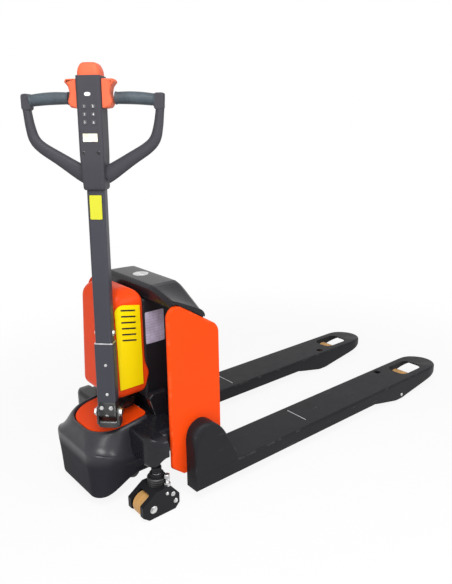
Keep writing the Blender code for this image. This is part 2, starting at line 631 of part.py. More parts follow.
def drive_cover():
    """The black moulded cover over the drive wheel, and the orange inset that the tiller arm sweeps."""
    cover = piece("drive_cover", cover_solid("cover", 0, COVER_BOTTOM), "black_plastic")
    combine(cover, cover_solid("cover_inside", COVER_WALL, COVER_BOTTOM - OVER))
    open_y = (COVER_FRONT_Y - OVER, COVER_FRONT_Y + OVER)
    opening = (-COVER_OPEN_HALF, COVER_OPEN_HALF)
    combine(cover, side_box("open_front", 1, opening, open_y, (0, COVER_OPEN_TOP)))
    steer, through = (0, STEER_Y), (BASE_LOW, BASE_HIGH + 3 * OVER)
    hole_r = COLUMN_HOLE_R + 0.002
    combine(cover, upright_rod("column_hole", steer, through, hole_r, 32))
    for side, _ in SIDES:
        notch_y = (NOTCH_Y, COVER_FRONT_Y + OVER)
        combine(cover, side_box("wing_notch", side, NOTCH_X, notch_y, (0, NOTCH_TOP)))
        sweep = (side * CASTER_X, CASTER_Y)
        combine(cover, upright_rod("caster_sweep", sweep, (0, CASTER_SWEEP_TOP), CASTER_SWEEP_R, 32))
    round_x, round_y = INSET_HALF - INSET_ROUND, INSET_REAR_Y + INSET_ROUND
    outline = arc((-round_x, round_y), INSET_ROUND, 180, 270, 5)
    outline += arc((round_x, round_y), INSET_ROUND, 270, 360, 5)
    side_x, end_x = INSET_HALF - 0.004, INSET_HALF - 0.004 - INSET_CHAMFER
    side_y = INSET_FRONT_Y - INSET_CHAMFER - 0.001
    outline += [(side_x, side_y), (end_x, INSET_FRONT_Y), (-end_x, INSET_FRONT_Y), (-side_x, side_y)]
    inset = slab("inset", [(x, y - STEER_Y) for x, y in outline], GAP, INSET_THICK, "Z")
    slope = Matrix.Rotation(math.atan(COVER_SLOPE), 4, "X")
    inset.transform(Matrix.Translation((0, STEER_Y, cover_top(STEER_Y))) @ slope)
    plate = piece("cover_inset", inset, "orange_paint")
    combine(plate, upright_rod("column_hole", steer, through, hole_r, 32))


def steered_drive():
    """What turns with the tiller: arm and column, yoke with its gearbox, motor, and the drive wheel."""
    centre, pin = (0, 0), (-PIVOT_RADIUS, PIVOT_Z)
    arm = piece(
        "steer_arm", box("arm", (-ARM_HALF, -ARM_REACH, ARM_LOW), (ARM_HALF, 0, ARM_HIGH)),
        "dark_steel", STEER_AXIS,
    )
    ear_y, ear_z = (-ARM_REACH, -PIVOT_RADIUS + EAR_FRONT), (ARM_HIGH - JOIN, EAR_TOP)
    for side, _ in SIDES:
        ear = side_box("ear", side, (EAR_INNER, ARM_HALF), ear_y, ear_z)
        combine(arm, ear, "UNION", STEER_AXIS)
    boss = upright_rod("boss", centre, (ARM_LOW, ARM_HIGH), ARM_HALF)
    combine(arm, boss, "UNION", STEER_AXIS)
    column = upright_rod("column", centre, (RING_BOTTOM, ARM_LOW + JOIN), COLUMN_R)
    combine(arm, column, "UNION", STEER_AXIS)
    bore = cross_rod("pin_bore", 0, ARM_HALF + OVER, pin, PIN_R + GAP, 16)
    combine(arm, bore, parent=STEER_AXIS)
    piece(
        "tiller_pin", cross_rod("tiller_pin", 0, TILLER_PIN_HALF, pin, PIN_R, 16),
        "zinc_steel", STEER_AXIS, smooth=True,
    )
    hub = (0, WHEEL_R)
    top_y = (-YOKE_DEPTH, YOKE_DEPTH)
    yoke = piece(
        "drive_yoke", side_box("yoke_top", 1, (-YOKE_HALF, YOKE_HALF), top_y, YOKE_Z),
        "dark_steel", STEER_AXIS,
    )
    for side, _ in SIDES:
        leg_x, leg_y = (YOKE_HALF - YOKE_LEG, YOKE_HALF), (-LEG_DEPTH, LEG_DEPTH)
        combine(yoke, side_box("leg", side, leg_x, leg_y, LEG_Z), "UNION", STEER_AXIS)
    gear_y = (-GEARBOX_DEPTH, GEARBOX_DEPTH)
    combine(yoke, side_box("gearbox", 1, GEARBOX_X, gear_y, GEARBOX_Z), "UNION", STEER_AXIS)
    blind_end = HUB_AXLE_HALF + 0.001
    bore = rod("axle_bore", (-YOKE_HALF - OVER, *hub), (blind_end, *hub), HUB_AXLE_R + 0.0005)
    combine(yoke, bore, parent=STEER_AXIS)
    motor = piece(
        "traction_motor", rod("motor", (-YOKE_HALF - GAP, *hub), (-MOTOR_END, *hub), MOTOR_R),
        "dark_steel", STEER_AXIS, smooth=True,
    )
    bevel(motor, 0.004)
    half = WHEEL_WIDTH / 2
    wheel = piece(
        "drive_hub", cross_rod("hub", 0, half, hub, HUB_R, 32), "dark_steel", STEER_AXIS, (0, *hub),
    )
    axle = cross_rod("axle", 0, HUB_AXLE_HALF, hub, HUB_AXLE_R)
    combine(wheel, axle, "UNION", STEER_AXIS)
    tyre = piece(
        "drive_tyre", cross_rod("tyre", 0, half, hub, WHEEL_R, 48),
        "drive_rubber", STEER_AXIS, (0, *hub), smooth=True,
    )
    bore = cross_rod("tyre_bore", 0, half + OVER, hub, HUB_R + GAP, 32)
    combine(tyre, bore, parent=STEER_AXIS)


def caster(side, label):
    """A stabiliser caster: housing on a stem, adjuster bolt, and a wheel on a cross pin."""
    base = pivot(f"caster_axis_{label}", (side * CASTER_X, CASTER_Y, 0))
    centre = (0, 0)
    shell = slab("housing", CASTER_OUTLINE, -CASTER_HALF, CASTER_HALF, "X")
    housing = piece(f"caster_housing_{label}", shell, "fork_paint", base)
    slot_x = (-CASTER_SLOT_HALF, CASTER_SLOT_HALF)
    slot = side_box("wheel_slot", 1, slot_x, CASTER_SLOT_Y, (-OVER, CASTER_SLOT_TOP))
    combine(housing, slot, parent=base)
    axle = (CASTER_WHEEL_Y - CASTER_Y, CASTER_R)
    pin = cross_rod("axle", 0, CASTER_HALF + 0.002, axle, CASTER_AXLE_R, 12)
    combine(housing, pin, "UNION", base)
    stem = upright_rod("stem", centre, (CASTER_SLOT_TOP + JOIN, STEM_TOP), STEM_R)
    combine(housing, stem, "UNION", base)
    neck = upright_rod("stem_neck", centre, (STEM_TOP - JOIN, WING_LOW - GAP), STEM_NECK_R)
    combine(housing, neck, "UNION", base)
    bolt = upright_rod("bolt", BOLT_PLACE, BOLT_Z, BOLT_R, 12)
    piece(f"adjuster_bolt_{label}", bolt, "zinc_steel", base, smooth=True)
    wheel = piece(
        f"caster_wheel_{label}", cross_rod("wheel", 0, CASTER_WHEEL_HALF, axle, CASTER_R, 32),
        "roller_pu", base, (0, *axle), smooth=True,
    )
    bore = cross_rod("bore", 0, CASTER_WHEEL_HALF + OVER, axle, CASTER_AXLE_R + GAP, 12)
    combine(wheel, bore, parent=base)


def tiller():
    """The pole on its sleeve, the control head, and the loop handles with their grips."""
    sleeve = piece(
        "tiller_sleeve",
        box(
            "sleeve",
            (-SLEEVE_HALF, -SLEEVE_DEPTH, SLEEVE_FOOT),
            (SLEEVE_HALF, SLEEVE_DEPTH, SLEEVE_TOP),
        ),
        "pole_paint", TILLER_AXIS,
    )
    bore = cross_rod("pin_bore", 0, SLEEVE_HALF + OVER, (0, 0), PIN_R + GAP, 16)
    combine(sleeve, bore, parent=TILLER_AXIS)
    pole = box(
        "pole",
        (-POLE_HALF, -POLE_DEPTH, SLEEVE_TOP + GAP),
        (POLE_HALF, POLE_DEPTH, POLE_TOP - GAP),
    )
    bevel(piece("tiller_pole", pole, "pole_paint", TILLER_AXIS), 0.004)
    body = box("head", (-HEAD_HALF, HEAD_REAR, POLE_TOP), (HEAD_HALF, HEAD_FRONT, HEAD_TOP))
    head = piece("tiller_head", body, "black_plastic", TILLER_AXIS)
    bevel(head, 0.006)
    half, room = KEY_SIZE / 2, KEY_SIZE / 2 + GAP
    for index in range(6):
        x = (index % 2 - 0.5) * KEY_PITCH_X
        z = KEY_TOP_Z - index // 2 * KEY_PITCH_Z
        pocket = box(
            "key_pocket",
            (x - room, HEAD_REAR - OVER, z - room),
            (x + room, HEAD_REAR + KEY_POCKET, z + room),
        )
        combine(head, pocket, parent=TILLER_AXIS)
        key = box(
            "key",
            (x - half, HEAD_REAR - KEY_PROUD, z - half),
            (x + half, HEAD_REAR + KEY_SEAT, z + half),
        )
        piece(f"key_{index + 1}", key, "grip_rubber", TILLER_AXIS, (x, HEAD_REAR, z))
    for side, label in SIDES:
        grip = rod("grip", (side * GRIP_IN, 0, GRIP_Z), (side * GRIP_OUT, 0, GRIP_Z), GRIP_R, 20)
        piece(f"grip_{label}", grip, "grip_rubber", TILLER_AXIS, smooth=True)
        route = [(side * x, 0, z) for x, z in ((GRIP_OUT + GAP, GRIP_Z), *LOOP_ROUTE)]
        loop = tube("loop", route, LOOP_R)
        piece(f"handle_loop_{label}", loop, "black_plastic", TILLER_AXIS, smooth=True)


def controls():
    """The butterfly throttle paddles and the belly button at the top of the head."""
    outline = [(y, z + THROTTLE_Z) for y, z in PADDLE_OUTLINE]
    for side, label in SIDES:
        low, high = sorted((side * (HEAD_HALF + PADDLE_GAP), side * (GRIP_IN - 3 * PADDLE_GAP)))
        paddle = slab("paddle", outline, low, high, "X")
        axis = (side * HEAD_HALF, 0, THROTTLE_Z)
        bevel(piece(f"throttle_paddle_{label}", paddle, "orange_plastic", TILLER_AXIS, axis), 0.004)
    outline = [*BUTTON_HALF, *((-x, z) for x, z in reversed(BUTTON_HALF))]
    button = slab("button", [(x, z + HEAD_TOP) for x, z in outline], *BUTTON_Y, "Y")
    bevel(piece("belly_button", button, "orange_plastic", TILLER_AXIS, (0, 0, HEAD_TOP)), 0.004)


FRAME_AXIS = pivot("lift_axis", (0, 0, 0))
STEER_AXIS = pivot("steer_axis", (0, STEER_Y, 0), (0, 0, STEER_REST))
TILLER_AXIS = pivot("tiller_axis", (0, -PIVOT_RADIUS, PIVOT_Z), (-TILLER_LEAN, 0, 0), STEER_AXIS)

for fork_side, fork_label in SIDES:
    fork(fork_side, fork_label)
    heel_gusset(fork_side, fork_label)
    side_panel(fork_side, fork_label)
    load_wheel(fork_side, fork_label)
    caster(fork_side, fork_label)
frame_cover()
body_fittings()
rocker_shaft()
drive_base()
drive_cover()
steered_drive()
tiller()
controls()

# The turned handle reaches past the drive cover, so the truck moves forward to centre its footprint.
for part in (*TRUCK.objects, *CUTTERS.objects):
    if part.parent is None:
        part.location.y += FOOTPRINT_SHIFT
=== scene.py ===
"""Looks of an electric pallet truck, laid out as an add-on whose operators each make one group of pieces.

Metres, +Z up, forks along +Y. Lengths along the truck are measured from a datum that lies a fixed distance
ahead of the steering axis, and the tiller's own pieces are measured from its pivot, up along the pole.
"""

import json
import math

import bmesh
import bpy
import numpy as np
from mathutils import Matrix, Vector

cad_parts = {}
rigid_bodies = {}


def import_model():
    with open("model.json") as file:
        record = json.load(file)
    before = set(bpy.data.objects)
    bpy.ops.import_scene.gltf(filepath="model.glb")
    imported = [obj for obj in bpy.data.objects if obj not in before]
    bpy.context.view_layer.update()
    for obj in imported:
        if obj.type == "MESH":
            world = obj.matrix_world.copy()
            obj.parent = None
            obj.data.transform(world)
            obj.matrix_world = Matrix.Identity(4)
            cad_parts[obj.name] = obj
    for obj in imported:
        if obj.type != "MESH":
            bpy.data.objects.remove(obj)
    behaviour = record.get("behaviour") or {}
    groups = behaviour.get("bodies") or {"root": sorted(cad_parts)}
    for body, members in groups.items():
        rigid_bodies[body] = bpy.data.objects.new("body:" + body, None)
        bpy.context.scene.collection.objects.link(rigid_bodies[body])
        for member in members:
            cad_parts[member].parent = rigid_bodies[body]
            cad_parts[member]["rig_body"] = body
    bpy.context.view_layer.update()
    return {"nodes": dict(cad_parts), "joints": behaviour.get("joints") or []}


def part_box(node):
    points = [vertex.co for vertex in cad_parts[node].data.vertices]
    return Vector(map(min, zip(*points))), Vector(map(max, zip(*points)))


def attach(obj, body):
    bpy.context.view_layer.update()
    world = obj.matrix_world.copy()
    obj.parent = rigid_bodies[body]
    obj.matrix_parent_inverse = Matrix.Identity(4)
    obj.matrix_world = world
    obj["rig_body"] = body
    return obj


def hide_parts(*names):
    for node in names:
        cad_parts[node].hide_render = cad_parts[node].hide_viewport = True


bl_info = {
    "name": "Electric Pallet Truck",
    "version": (1, 0, 0),
    "blender": (4, 5, 0),
    "location": "View3D > Sidebar > Truck",
    "description": "Builds the truck's covers, forks, tiller and finishes on its packed frame",
    "category": "Object",
}

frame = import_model()
JOINTS = {joint["name"]: joint for joint in frame["joints"]}
SIDES = ((1, "right"), (-1, "left"))

# Clearance between neighbouring CAD parts, and how far a finished skin lies inside its CAD face
CAD_GAP = 0.0003
SKIN_INSET = 0.0008

# Distances within which points are merged, the radius of an edge left sharp, and one that wears fully
MERGE_DISTANCE, CAD_MERGE_DISTANCE = 2e-6, 1e-5
SHARP_EDGE, WORN_EDGE = 1e-5, 0.003
# Angles below which two faces are one flat, and below which they are shaded as one
FLAT_DEGREES, SMOOTH_DEGREES = 1, 38

# The photograph's camera: its picture's height and focal length in pixels, its place and its turn
IMAGE_HEIGHT = 584
FOCAL_PIXELS = 612.73
CAMERA_PLACE = (1.52913, -1.43397, 1.12682)
CAMERA_AZIMUTH, CAMERA_ELEVATION, CAMERA_ROLL = 50.205, 16.831, -0.457
SENSOR_MM = 36.0


def shift(x, y, z):
    """A 4 x 4 matrix that moves by x, y and z."""
    return np.array(Matrix.Translation((x, y, z)))


def turn(degrees, axis):
    """A 4 x 4 matrix that turns about the X, Y or Z axis."""
    return np.array(Matrix.Rotation(math.radians(degrees), 4, axis))


def joint_place(name):
    """Where a joint's axis lies, in the world."""
    return np.array(JOINTS[name]["pos_m"])


# Local frames: the truck's drawing, the steered unit and the tiller, from the joints' places
DATUM_AHEAD = 0.582
STEER_REST, TILLER_LEAN = 45.0, 3.0
STEER_PLACE = joint_place("steer")
TILLER_PLACE = joint_place("tiller_tilt")
PIVOT_RADIUS = float(np.hypot(*(TILLER_PLACE - STEER_PLACE)[:2]))
DRAWING = shift(0, STEER_PLACE[1] + DATUM_AHEAD, 0)
STEERED = shift(*STEER_PLACE) @ turn(STEER_REST, "Z")
TILLER = STEERED @ shift(0, -PIVOT_RADIUS, TILLER_PLACE[2]) @ turn(-TILLER_LEAN, "X")
WORLD = np.eye(4)


def cad_box(node, place=DRAWING):
    """The low and high corners of a CAD part, measured from a local frame's origin."""
    return [np.array(corner) - place[:3, 3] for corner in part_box(node)]


def unit(vectors):
    """Each vector divided by its length."""
    return vectors / np.linalg.norm(vectors, axis=-1, keepdims=True)


def moved(points, matrix):
    """Points carried by a 4 x 4 matrix."""
    return np.asarray(points, float) @ matrix[:3, :3].T + matrix[:3, 3]


def ease(value, start, end):
    """0 before start, 1 after end, and the cubic 3t^2 - 2t^3 between."""
    t = np.clip((np.asarray(value, float) - start) / (end - start), 0, 1)
    return t * t * (3 - 2 * t)


def bump_at(value, centre, width):
    """A bell curve of height 1: exp(-((value - centre) / width)^2)."""
    return np.exp(-(((np.asarray(value, float) - centre) / width) ** 2))


def rounded(corners, radii, steps=6):
    """An outline whose corners are arcs.

    Each arc's centre lies on the corner's bisector, at radius / sin(half angle), and the arc sweeps the
    outline's turn there in equal steps.
    """
    corner = np.asarray(corners, float)
    back, ahead = unit(np.roll(corner, 1, 0) - corner), unit(np.roll(corner, -1, 0) - corner)
    half = np.arccos(np.clip((back * ahead).sum(1), -1, 1)) / 2
    radius = np.broadcast_to(np.asarray(radii, float), half.shape)
    centre = corner + unit(back + ahead) * (radius / np.sin(half))[:, None]
    start = corner + back * (radius / np.tan(half))[:, None] - centre
    side = np.sign(ahead[:, 0] * back[:, 1] - ahead[:, 1] * back[:, 0])
    angle = (side * (np.pi - 2 * half))[:, None] * np.linspace(0, 1, steps + 1)
    cos, sin = np.cos(angle), np.sin(angle)
    x = centre[:, :1] + cos * start[:, :1] - sin * start[:, 1:]
    y = centre[:, 1:] + sin * start[:, :1] + cos * start[:, 1:]
    return np.stack([x, y], -1).reshape(-1, 2)


def rectangle(low, high, radius, steps=6):
    """A rounded rectangle between two corners of a plane."""
    (x0, y0), (x1, y1) = low, high
    return rounded([(x0, y0), (x1, y0), (x1, y1), (x0, y1)], radius, steps)


def centred(half, radius, steps=6, centre=(0, 0)):
    """A rounded rectangle by its half sizes about a centre."""
    half, centre = np.asarray(half, float), np.asarray(centre, float)
    return rectangle(centre - half, centre + half, radius, steps)


def lifted(plan, height):
    """Rings of plan points joined with their heights: one for a ring, or one for each point."""
    return np.concatenate([plan, np.broadcast_to(height, plan.shape[:2])[..., None]], -1)


def spanned(low, high, share):
    """Shares from -1 to 1 laid out between a low and a high value at each station."""
    return ((low + high) / 2)[:, None] + share * ((high - low) / 2)[:, None]


def spline(points, count, closed=False):
    """A Catmull-Rom curve: cubics through the points, whose slope at each is half its neighbours' span."""
    points = np.asarray(points, float)
    if closed:
        padded = np.concatenate([points[-1:], points, points[:2]])
        t = np.linspace(0, len(points), count, endpoint=False)
    else:
        padded = np.concatenate([2 * points[:1] - points[1:2], points, 2 * points[-1:] - points[-2:-1]])
        t = np.linspace(0, len(points) - 1, count)
    i = np.minimum(t.astype(int), len(padded) - 4)
    t = (t - i).reshape(-1, *[1] * (points.ndim - 1))
    a, b, c, d = (padded[i + k] for k in range(4))
    return b + t * ((c - a) + t * ((2 * a - 5 * b + 4 * c - d) + t * (3 * (b - c) + d - a))) / 2


def oval(half_u, half_v, power, count=40):
    """A superellipse: |u / a|^p + |v / b|^p = 1, from cosines and sines raised to 2 / p."""
    angle = np.linspace(0, 2 * np.pi, count, endpoint=False)
    cos, sin = np.cos(angle), np.sin(angle)
    u = np.sign(cos) * np.abs(cos) ** (2 / power) * half_u
    v = np.sign(sin) * np.abs(sin) ** (2 / power) * half_v
    return np.stack([u, v], -1)


def grid_faces(rows, columns, round_columns=False):
    """Quads over a grid of points; the last column joins the first where it goes round."""
    i, j = np.meshgrid(np.arange(rows - 1), np.arange(columns - (not round_columns)), indexing="ij")
    k = (j + 1) % columns
    quads = [i * columns + j, i * columns + k, (i + 1) * columns + k, (i + 1) * columns + j]
    return np.stack(quads, -1).reshape(-1, 4)


def sheet(points, edge=None):
    """An open surface on a grid of points."""
    rows, columns = points.shape[:2]
    return points.reshape(-1, 3), [grid_faces(rows, columns)], edge


def loft(rings, edge=None, low_cap=True, high_cap=True):
    """A surface through closed rings of equal counts, with a flat cap at either end."""
    rings = np.asarray(rings, float)
    rows, columns = rings.shape[:2]
    faces = [grid_faces(rows, columns, round_columns=True)]
    if low_cap:
        faces.append(np.arange(columns)[None, ::-1])
    if high_cap:
        faces.append(np.arange((rows - 1) * columns, rows * columns)[None])
    return rings.reshape(-1, 3), faces, edge


def closed_loft(rings):
    """A surface through closed rings whose last ring joins the first, as in a tyre."""
    rows, columns = rings.shape[:2]
    points, (walls,), _ = loft(rings, low_cap=False, high_cap=False)
    ring = np.arange(columns)
    after, last = np.roll(ring, -1), (rows - 1) * columns
    return points, [walls, np.stack([last + ring, last + after, after, ring], -1)], None


def inward(outline):
    """Mitred normals into a counter-clockwise outline: (m + n) / (1 + m.n) of its two edges' normals."""
    ahead = unit(np.roll(outline, -1, 0) - outline)
    after = np.stack([-ahead[:, 1], ahead[:, 0]], -1)
    before = np.roll(after, 1, 0)
    return (after + before) / (1 + (after * before).sum(1, keepdims=True))


def prism(outline, low, high, axis, low_edge=0.0, high_edge=0.0, steps=4, low_cap=True):
    """An outline carried from low to high along X, Y or Z, with round edges.

    Over the last radius r at each end the outline moves inwards by r (1 - sin a) at r (1 - cos a) from the
    end. An edge may be one radius or one for each point. The outline is in the two other axes in order.
    """
    outline = np.asarray(outline, float)
    normal, count = inward(outline), len(outline)
    angle = np.linspace(0, np.pi / 2, steps + 1)
    rings, marks = [], []
    for end, sign, edge in ((low, 1, low_edge), (high, -1, high_edge)):
        radius = np.broadcast_to(np.maximum(edge, SHARP_EDGE), count)
        inset = (1 - np.sin(angle))[:, None] * radius
        height = end + sign * (1 - np.cos(angle))[:, None] * radius
        flat = outline + normal * inset[..., None]
        order = slice(None, None, sign)
        rings.append(np.concatenate([flat, height[..., None]], -1)[order])
        strength = np.minimum(radius / WORN_EDGE, 1)
        marks.append((np.sin(2 * angle)[:, None] * strength)[order])
    u, v, h = np.moveaxis(np.concatenate(rings), -1, 0)
    points = {"X": (h, u, v), "Y": (u, h, v), "Z": (u, v, h)}[axis]
    return loft(np.stack(points, -1), np.concatenate(marks).ravel(), low_cap)


def sweep(path, profile, across=(0, 1, 0)):
    """A closed profile carried along a path: its second axis lies along across, its first square to both."""
    path = np.asarray(path, float)
    ahead = unit(np.gradient(path, axis=0))
    side = unit(np.cross(np.broadcast_to(across, path.shape), ahead))
    level = np.cross(ahead, side)
    profile = np.broadcast_to(profile, (len(path), *np.shape(profile)[-2:]))
    return loft(path[:, None] + side[:, None] * profile[..., :1] + level[:, None] * profile[..., 1:])


def spun(profile, start, axis, sides):
    """Rings of a (distance, radius) profile about an axis: start + d axis + r (cos a u + sin a v)."""
    distance, radius = np.asarray(profile, float).T[..., None, None]
    axis = unit(np.asarray(axis, float))
    u = unit(np.cross(axis, (0, 0, 1) if abs(axis[2]) < 0.9 else (1, 0, 0)))
    v = np.cross(axis, u)
    angle = np.linspace(0, 2 * np.pi, sides, endpoint=False)[:, None]
    return np.asarray(start, float) + distance * axis + radius * (np.cos(angle) * u + np.sin(angle) * v)


def turned(profile, start, axis, sides=40):
    """A profile spun about an axis and closed by flat ends."""
    return loft(spun(profile, start, axis, sides))


def disc(start, axis, radius, height, edge, sides=40):
    """A turned disc with a round upper edge."""
    angle = np.linspace(0, np.pi / 2, 5)
    rim = np.stack([height - edge + edge * np.sin(angle), radius - edge + edge * np.cos(angle)], -1)
    return turned([(0, radius), *rim], start, axis, sides)


# A hex bolt's radii and heights, as shares of its size across flats, its corner radius and its height
WASHER_RADIUS, WASHER_HEIGHT, WASHER_EDGE = 0.72, 0.2, 0.08
CHAMFER_START, CHAMFER_END, CHAMFER_RADIUS = 0.65, 0.8, 0.82


def hex_bolt(start, axis, across, height):
    """A washer, and on it a six-sided head whose top is chamfered."""
    washer = disc(start, axis, across * WASHER_RADIUS, height * WASHER_HEIGHT, height * WASHER_EDGE)
    seat = np.asarray(start, float) + unit(np.asarray(axis, float)) * height * WASHER_HEIGHT
    radius = across / math.sqrt(3)
    profile = [
        (0, radius), (height * CHAMFER_START, radius), (height * CHAMFER_END, radius * CHAMFER_RADIUS),
    ]
    return [washer, turned(profile, seat, axis, 6)]


def side_bolts(x, y, z, across, height):
    """A hex bolt on either side of the middle plane, facing outwards."""
    return [shell for end in (-1, 1) for shell in hex_bolt((end * x, y, z), (end, 0, 0), across, height)]


def mirrored(shells, side):
    """Shells reflected across the middle plane, and turned to face outwards again, when side is -1."""
    return [
        (points * (side, 1, 1), [face[:, ::side] for face in faces], edge) for points, faces, edge in shells
    ]


def on_both_sides(shells):
    """Shells of the right side together with their mirror images."""
    return [shell for side, _ in SIDES for shell in mirrored(shells, side)]


def mesh_of(name, shells, matrix, closed=True):
    """One mesh from shells: all points, loops and face sizes as whole arrays, then doubles merged."""
    starts = np.cumsum([0] + [len(points) for points, _, _ in shells])
    points = moved(np.concatenate([points for points, _, _ in shells]), matrix)
    edge = np.concatenate([np.zeros(len(p)) if e is None else e for p, _, e in shells])
    groups = [face + start for (_, faces, _), start in zip(shells, starts) for face in faces]
    sizes = np.concatenate([np.full(len(group), group.shape[1]) for group in groups])
    corners = np.concatenate([group.ravel() for group in groups])
    mesh = bpy.data.meshes.new(name)
    mesh.vertices.add(len(points))
    mesh.vertices.foreach_set("co", points.ravel())
    mesh.loops.add(len(corners))
    mesh.loops.foreach_set("vertex_index", corners)
    mesh.polygons.add(len(sizes))
    mesh.polygons.foreach_set("loop_start", np.concatenate([[0], np.cumsum(sizes)[:-1]]))
    mesh.update(calc_edges=True)
    mesh.attributes.new("edge_wear", "FLOAT", "POINT").data.foreach_set("value", edge)
    bm = bmesh.new()
    bm.from_mesh(mesh)
    bmesh.ops.remove_doubles(bm, verts=bm.verts, dist=MERGE_DISTANCE)
    if closed:
        bmesh.ops.recalc_face_normals(bm, faces=bm.faces)
    bm.to_mesh(mesh)
    bm.free()
    return mesh


def finished(obj, finish, body, replaced=()):
    """Gives a piece its finish and smooth shading, and puts it on its body."""
    obj.data.materials.clear()
    obj.data.materials.append(finish_of(finish))
    obj.data.shade_smooth()
    obj.data.set_sharp_from_angle(angle=math.radians(SMOOTH_DEGREES))
    obj.modifiers.new("face_weighted", "WEIGHTED_NORMAL").keep_sharp = True
    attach(obj, body)
    if replaced:
        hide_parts(*replaced)
    return obj


def linked(name, mesh):
    """A new object in the scene."""
    obj = bpy.data.objects.new(name, mesh)
    bpy.context.scene.collection.objects.link(obj)
    return obj


def make(name, shells, finish, body, replaced=(), matrix=DRAWING):
    """A closed piece from shells, at its place on the truck."""
    return finished(linked(name, mesh_of(name, shells, matrix)), finish, body, replaced)


def make_pair(name, shells, finish, body, replaced=None, matrix=DRAWING):
    """A piece of the right side and its mirror image. The side's label ends each name."""
    for side, label in SIDES:
        nodes = [f"{replaced}_{label}"] if replaced else ()
        make(f"{name}_{label}", mirrored(shells, side), finish, body, nodes, matrix)


def on_tiller(name, shells, finish, replaced=(), body="tiller"):
    """A piece measured from the tiller's pivot, up along the pole."""
    return make(name, shells, finish, body, replaced, TILLER)


def baked(obj, cutters=()):
    """Applies a piece's modifiers, with cutter shells taken out of it first."""
    tools = [linked(f"{obj.name}_cutter_{i}", mesh) for i, mesh in enumerate(cutters)]
    for tool in tools:
        modifier = obj.modifiers.new(tool.name, "BOOLEAN")
        modifier.operation = "DIFFERENCE"
        modifier.object = tool
    graph = bpy.context.evaluated_depsgraph_get()
    mesh = bpy.data.meshes.new_from_object(obj.evaluated_get(graph))
    obj.modifiers.clear()
    obj.data = mesh
    for tool in tools:
        bpy.data.objects.remove(tool)
    return obj


def shell_of(name, shells, thickness, matrix=DRAWING, cutters=()):
    """An open skin given thickness inwards, then cut."""
    obj = linked(name, mesh_of(name, shells, matrix, closed=False))
    wall = obj.modifiers.new("wall", "SOLIDIFY")
    wall.thickness = thickness
    wall.offset = -1
    return baked(obj, cutters)


def softened(node, finish, edge, segments=2, cutters=()):
    """A copy of a plain CAD part: doubles merged, flats joined, cut if need be, and its edges rounded."""
    source = frame["nodes"][node]
    bm = bmesh.new()
    bm.from_mesh(source.data)
    bmesh.ops.remove_doubles(bm, verts=bm.verts, dist=CAD_MERGE_DISTANCE)
    bmesh.ops.dissolve_limit(bm, angle_limit=math.radians(FLAT_DEGREES), verts=bm.verts, edges=bm.edges)
    mesh = bpy.data.meshes.new(node)
    bm.to_mesh(mesh)
    bm.free()
    obj = linked(f"{node}_finished", mesh)
    if cutters:
        baked(obj, cutters)
    modifier = obj.modifiers.new("edges", "BEVEL")
    modifier.width = edge
    modifier.segments = segments
    modifier.limit_method = "ANGLE"
    return finished(obj, finish, source["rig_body"], [node])


class Wire:
    """One output socket of a node tree. Arithmetic on it adds Math nodes."""

    def __init__(self, nodes, socket):
        self.nodes, self.socket = nodes, socket

    def __add__(self, other):
        return self.nodes.math("ADD", self, other)

    def __radd__(self, other):
        return self.nodes.math("ADD", other, self)

    def __sub__(self, other):
        return self.nodes.math("SUBTRACT", self, other)

    def __rsub__(self, other):
        return self.nodes.math("SUBTRACT", other, self)

    def __mul__(self, other):
        return self.nodes.math("MULTIPLY", self, other)

    def __rmul__(self, other):
        return self.nodes.math("MULTIPLY", other, self)

    def between(self, low, high):
        """0 below low, 1 above high, and smooth between."""
        links = {"Value": self, "From Min": low, "From Max": high}
        return self.nodes.node("ShaderNodeMapRange", {"interpolation_type": "SMOOTHSTEP"}, links)


class Nodes:
    """A node tree under construction, of a material or of the world."""

    def __init__(self, tree):
        self.tree = tree

    def node(self, kind, settings=(), links=(), output=0):
        """Adds a node, sets it up, then gives its sockets values or wires. Returns one of its outputs."""
        made = self.tree.nodes.new(kind)
        for key, value in dict(settings).items():
            setattr(made, key, value)
        for key, value in dict(links).items():
            self.feed(made.inputs[key], value)
        return Wire(self, made.outputs[output])

    def feed(self, socket, value):
        """Links a wire to a socket, or sets the socket's own value."""
        if isinstance(value, Wire):
            self.tree.links.new(value.socket, socket)
        else:
            socket.default_value = value

    def math(self, operation, a, b):
        """A Math node on two wires or numbers."""
        return self.node("ShaderNodeMath", {"operation": operation}, {0: a, 1: b})

    def seen(self):
        """1 for what the camera, a reflection or a clear part sees, and 0 for light that falls elsewhere."""
        camera, glossy, clear = (
            self.node("ShaderNodeLightPath", output=f"Is {ray} Ray")
            for ray in ("Camera", "Glossy", "Transmission")
        )
        return self.math("MAXIMUM", self.math("MAXIMUM", camera, glossy), clear)


# Sockets of a Mix node that mixes colours, and the span of a cloud's values over which a tone changes
MIX_FACTOR, MIX_A, MIX_B, MIX_RESULT = 0, 6, 7, 2
CLOUD_SPAN = (0.3, 0.7)


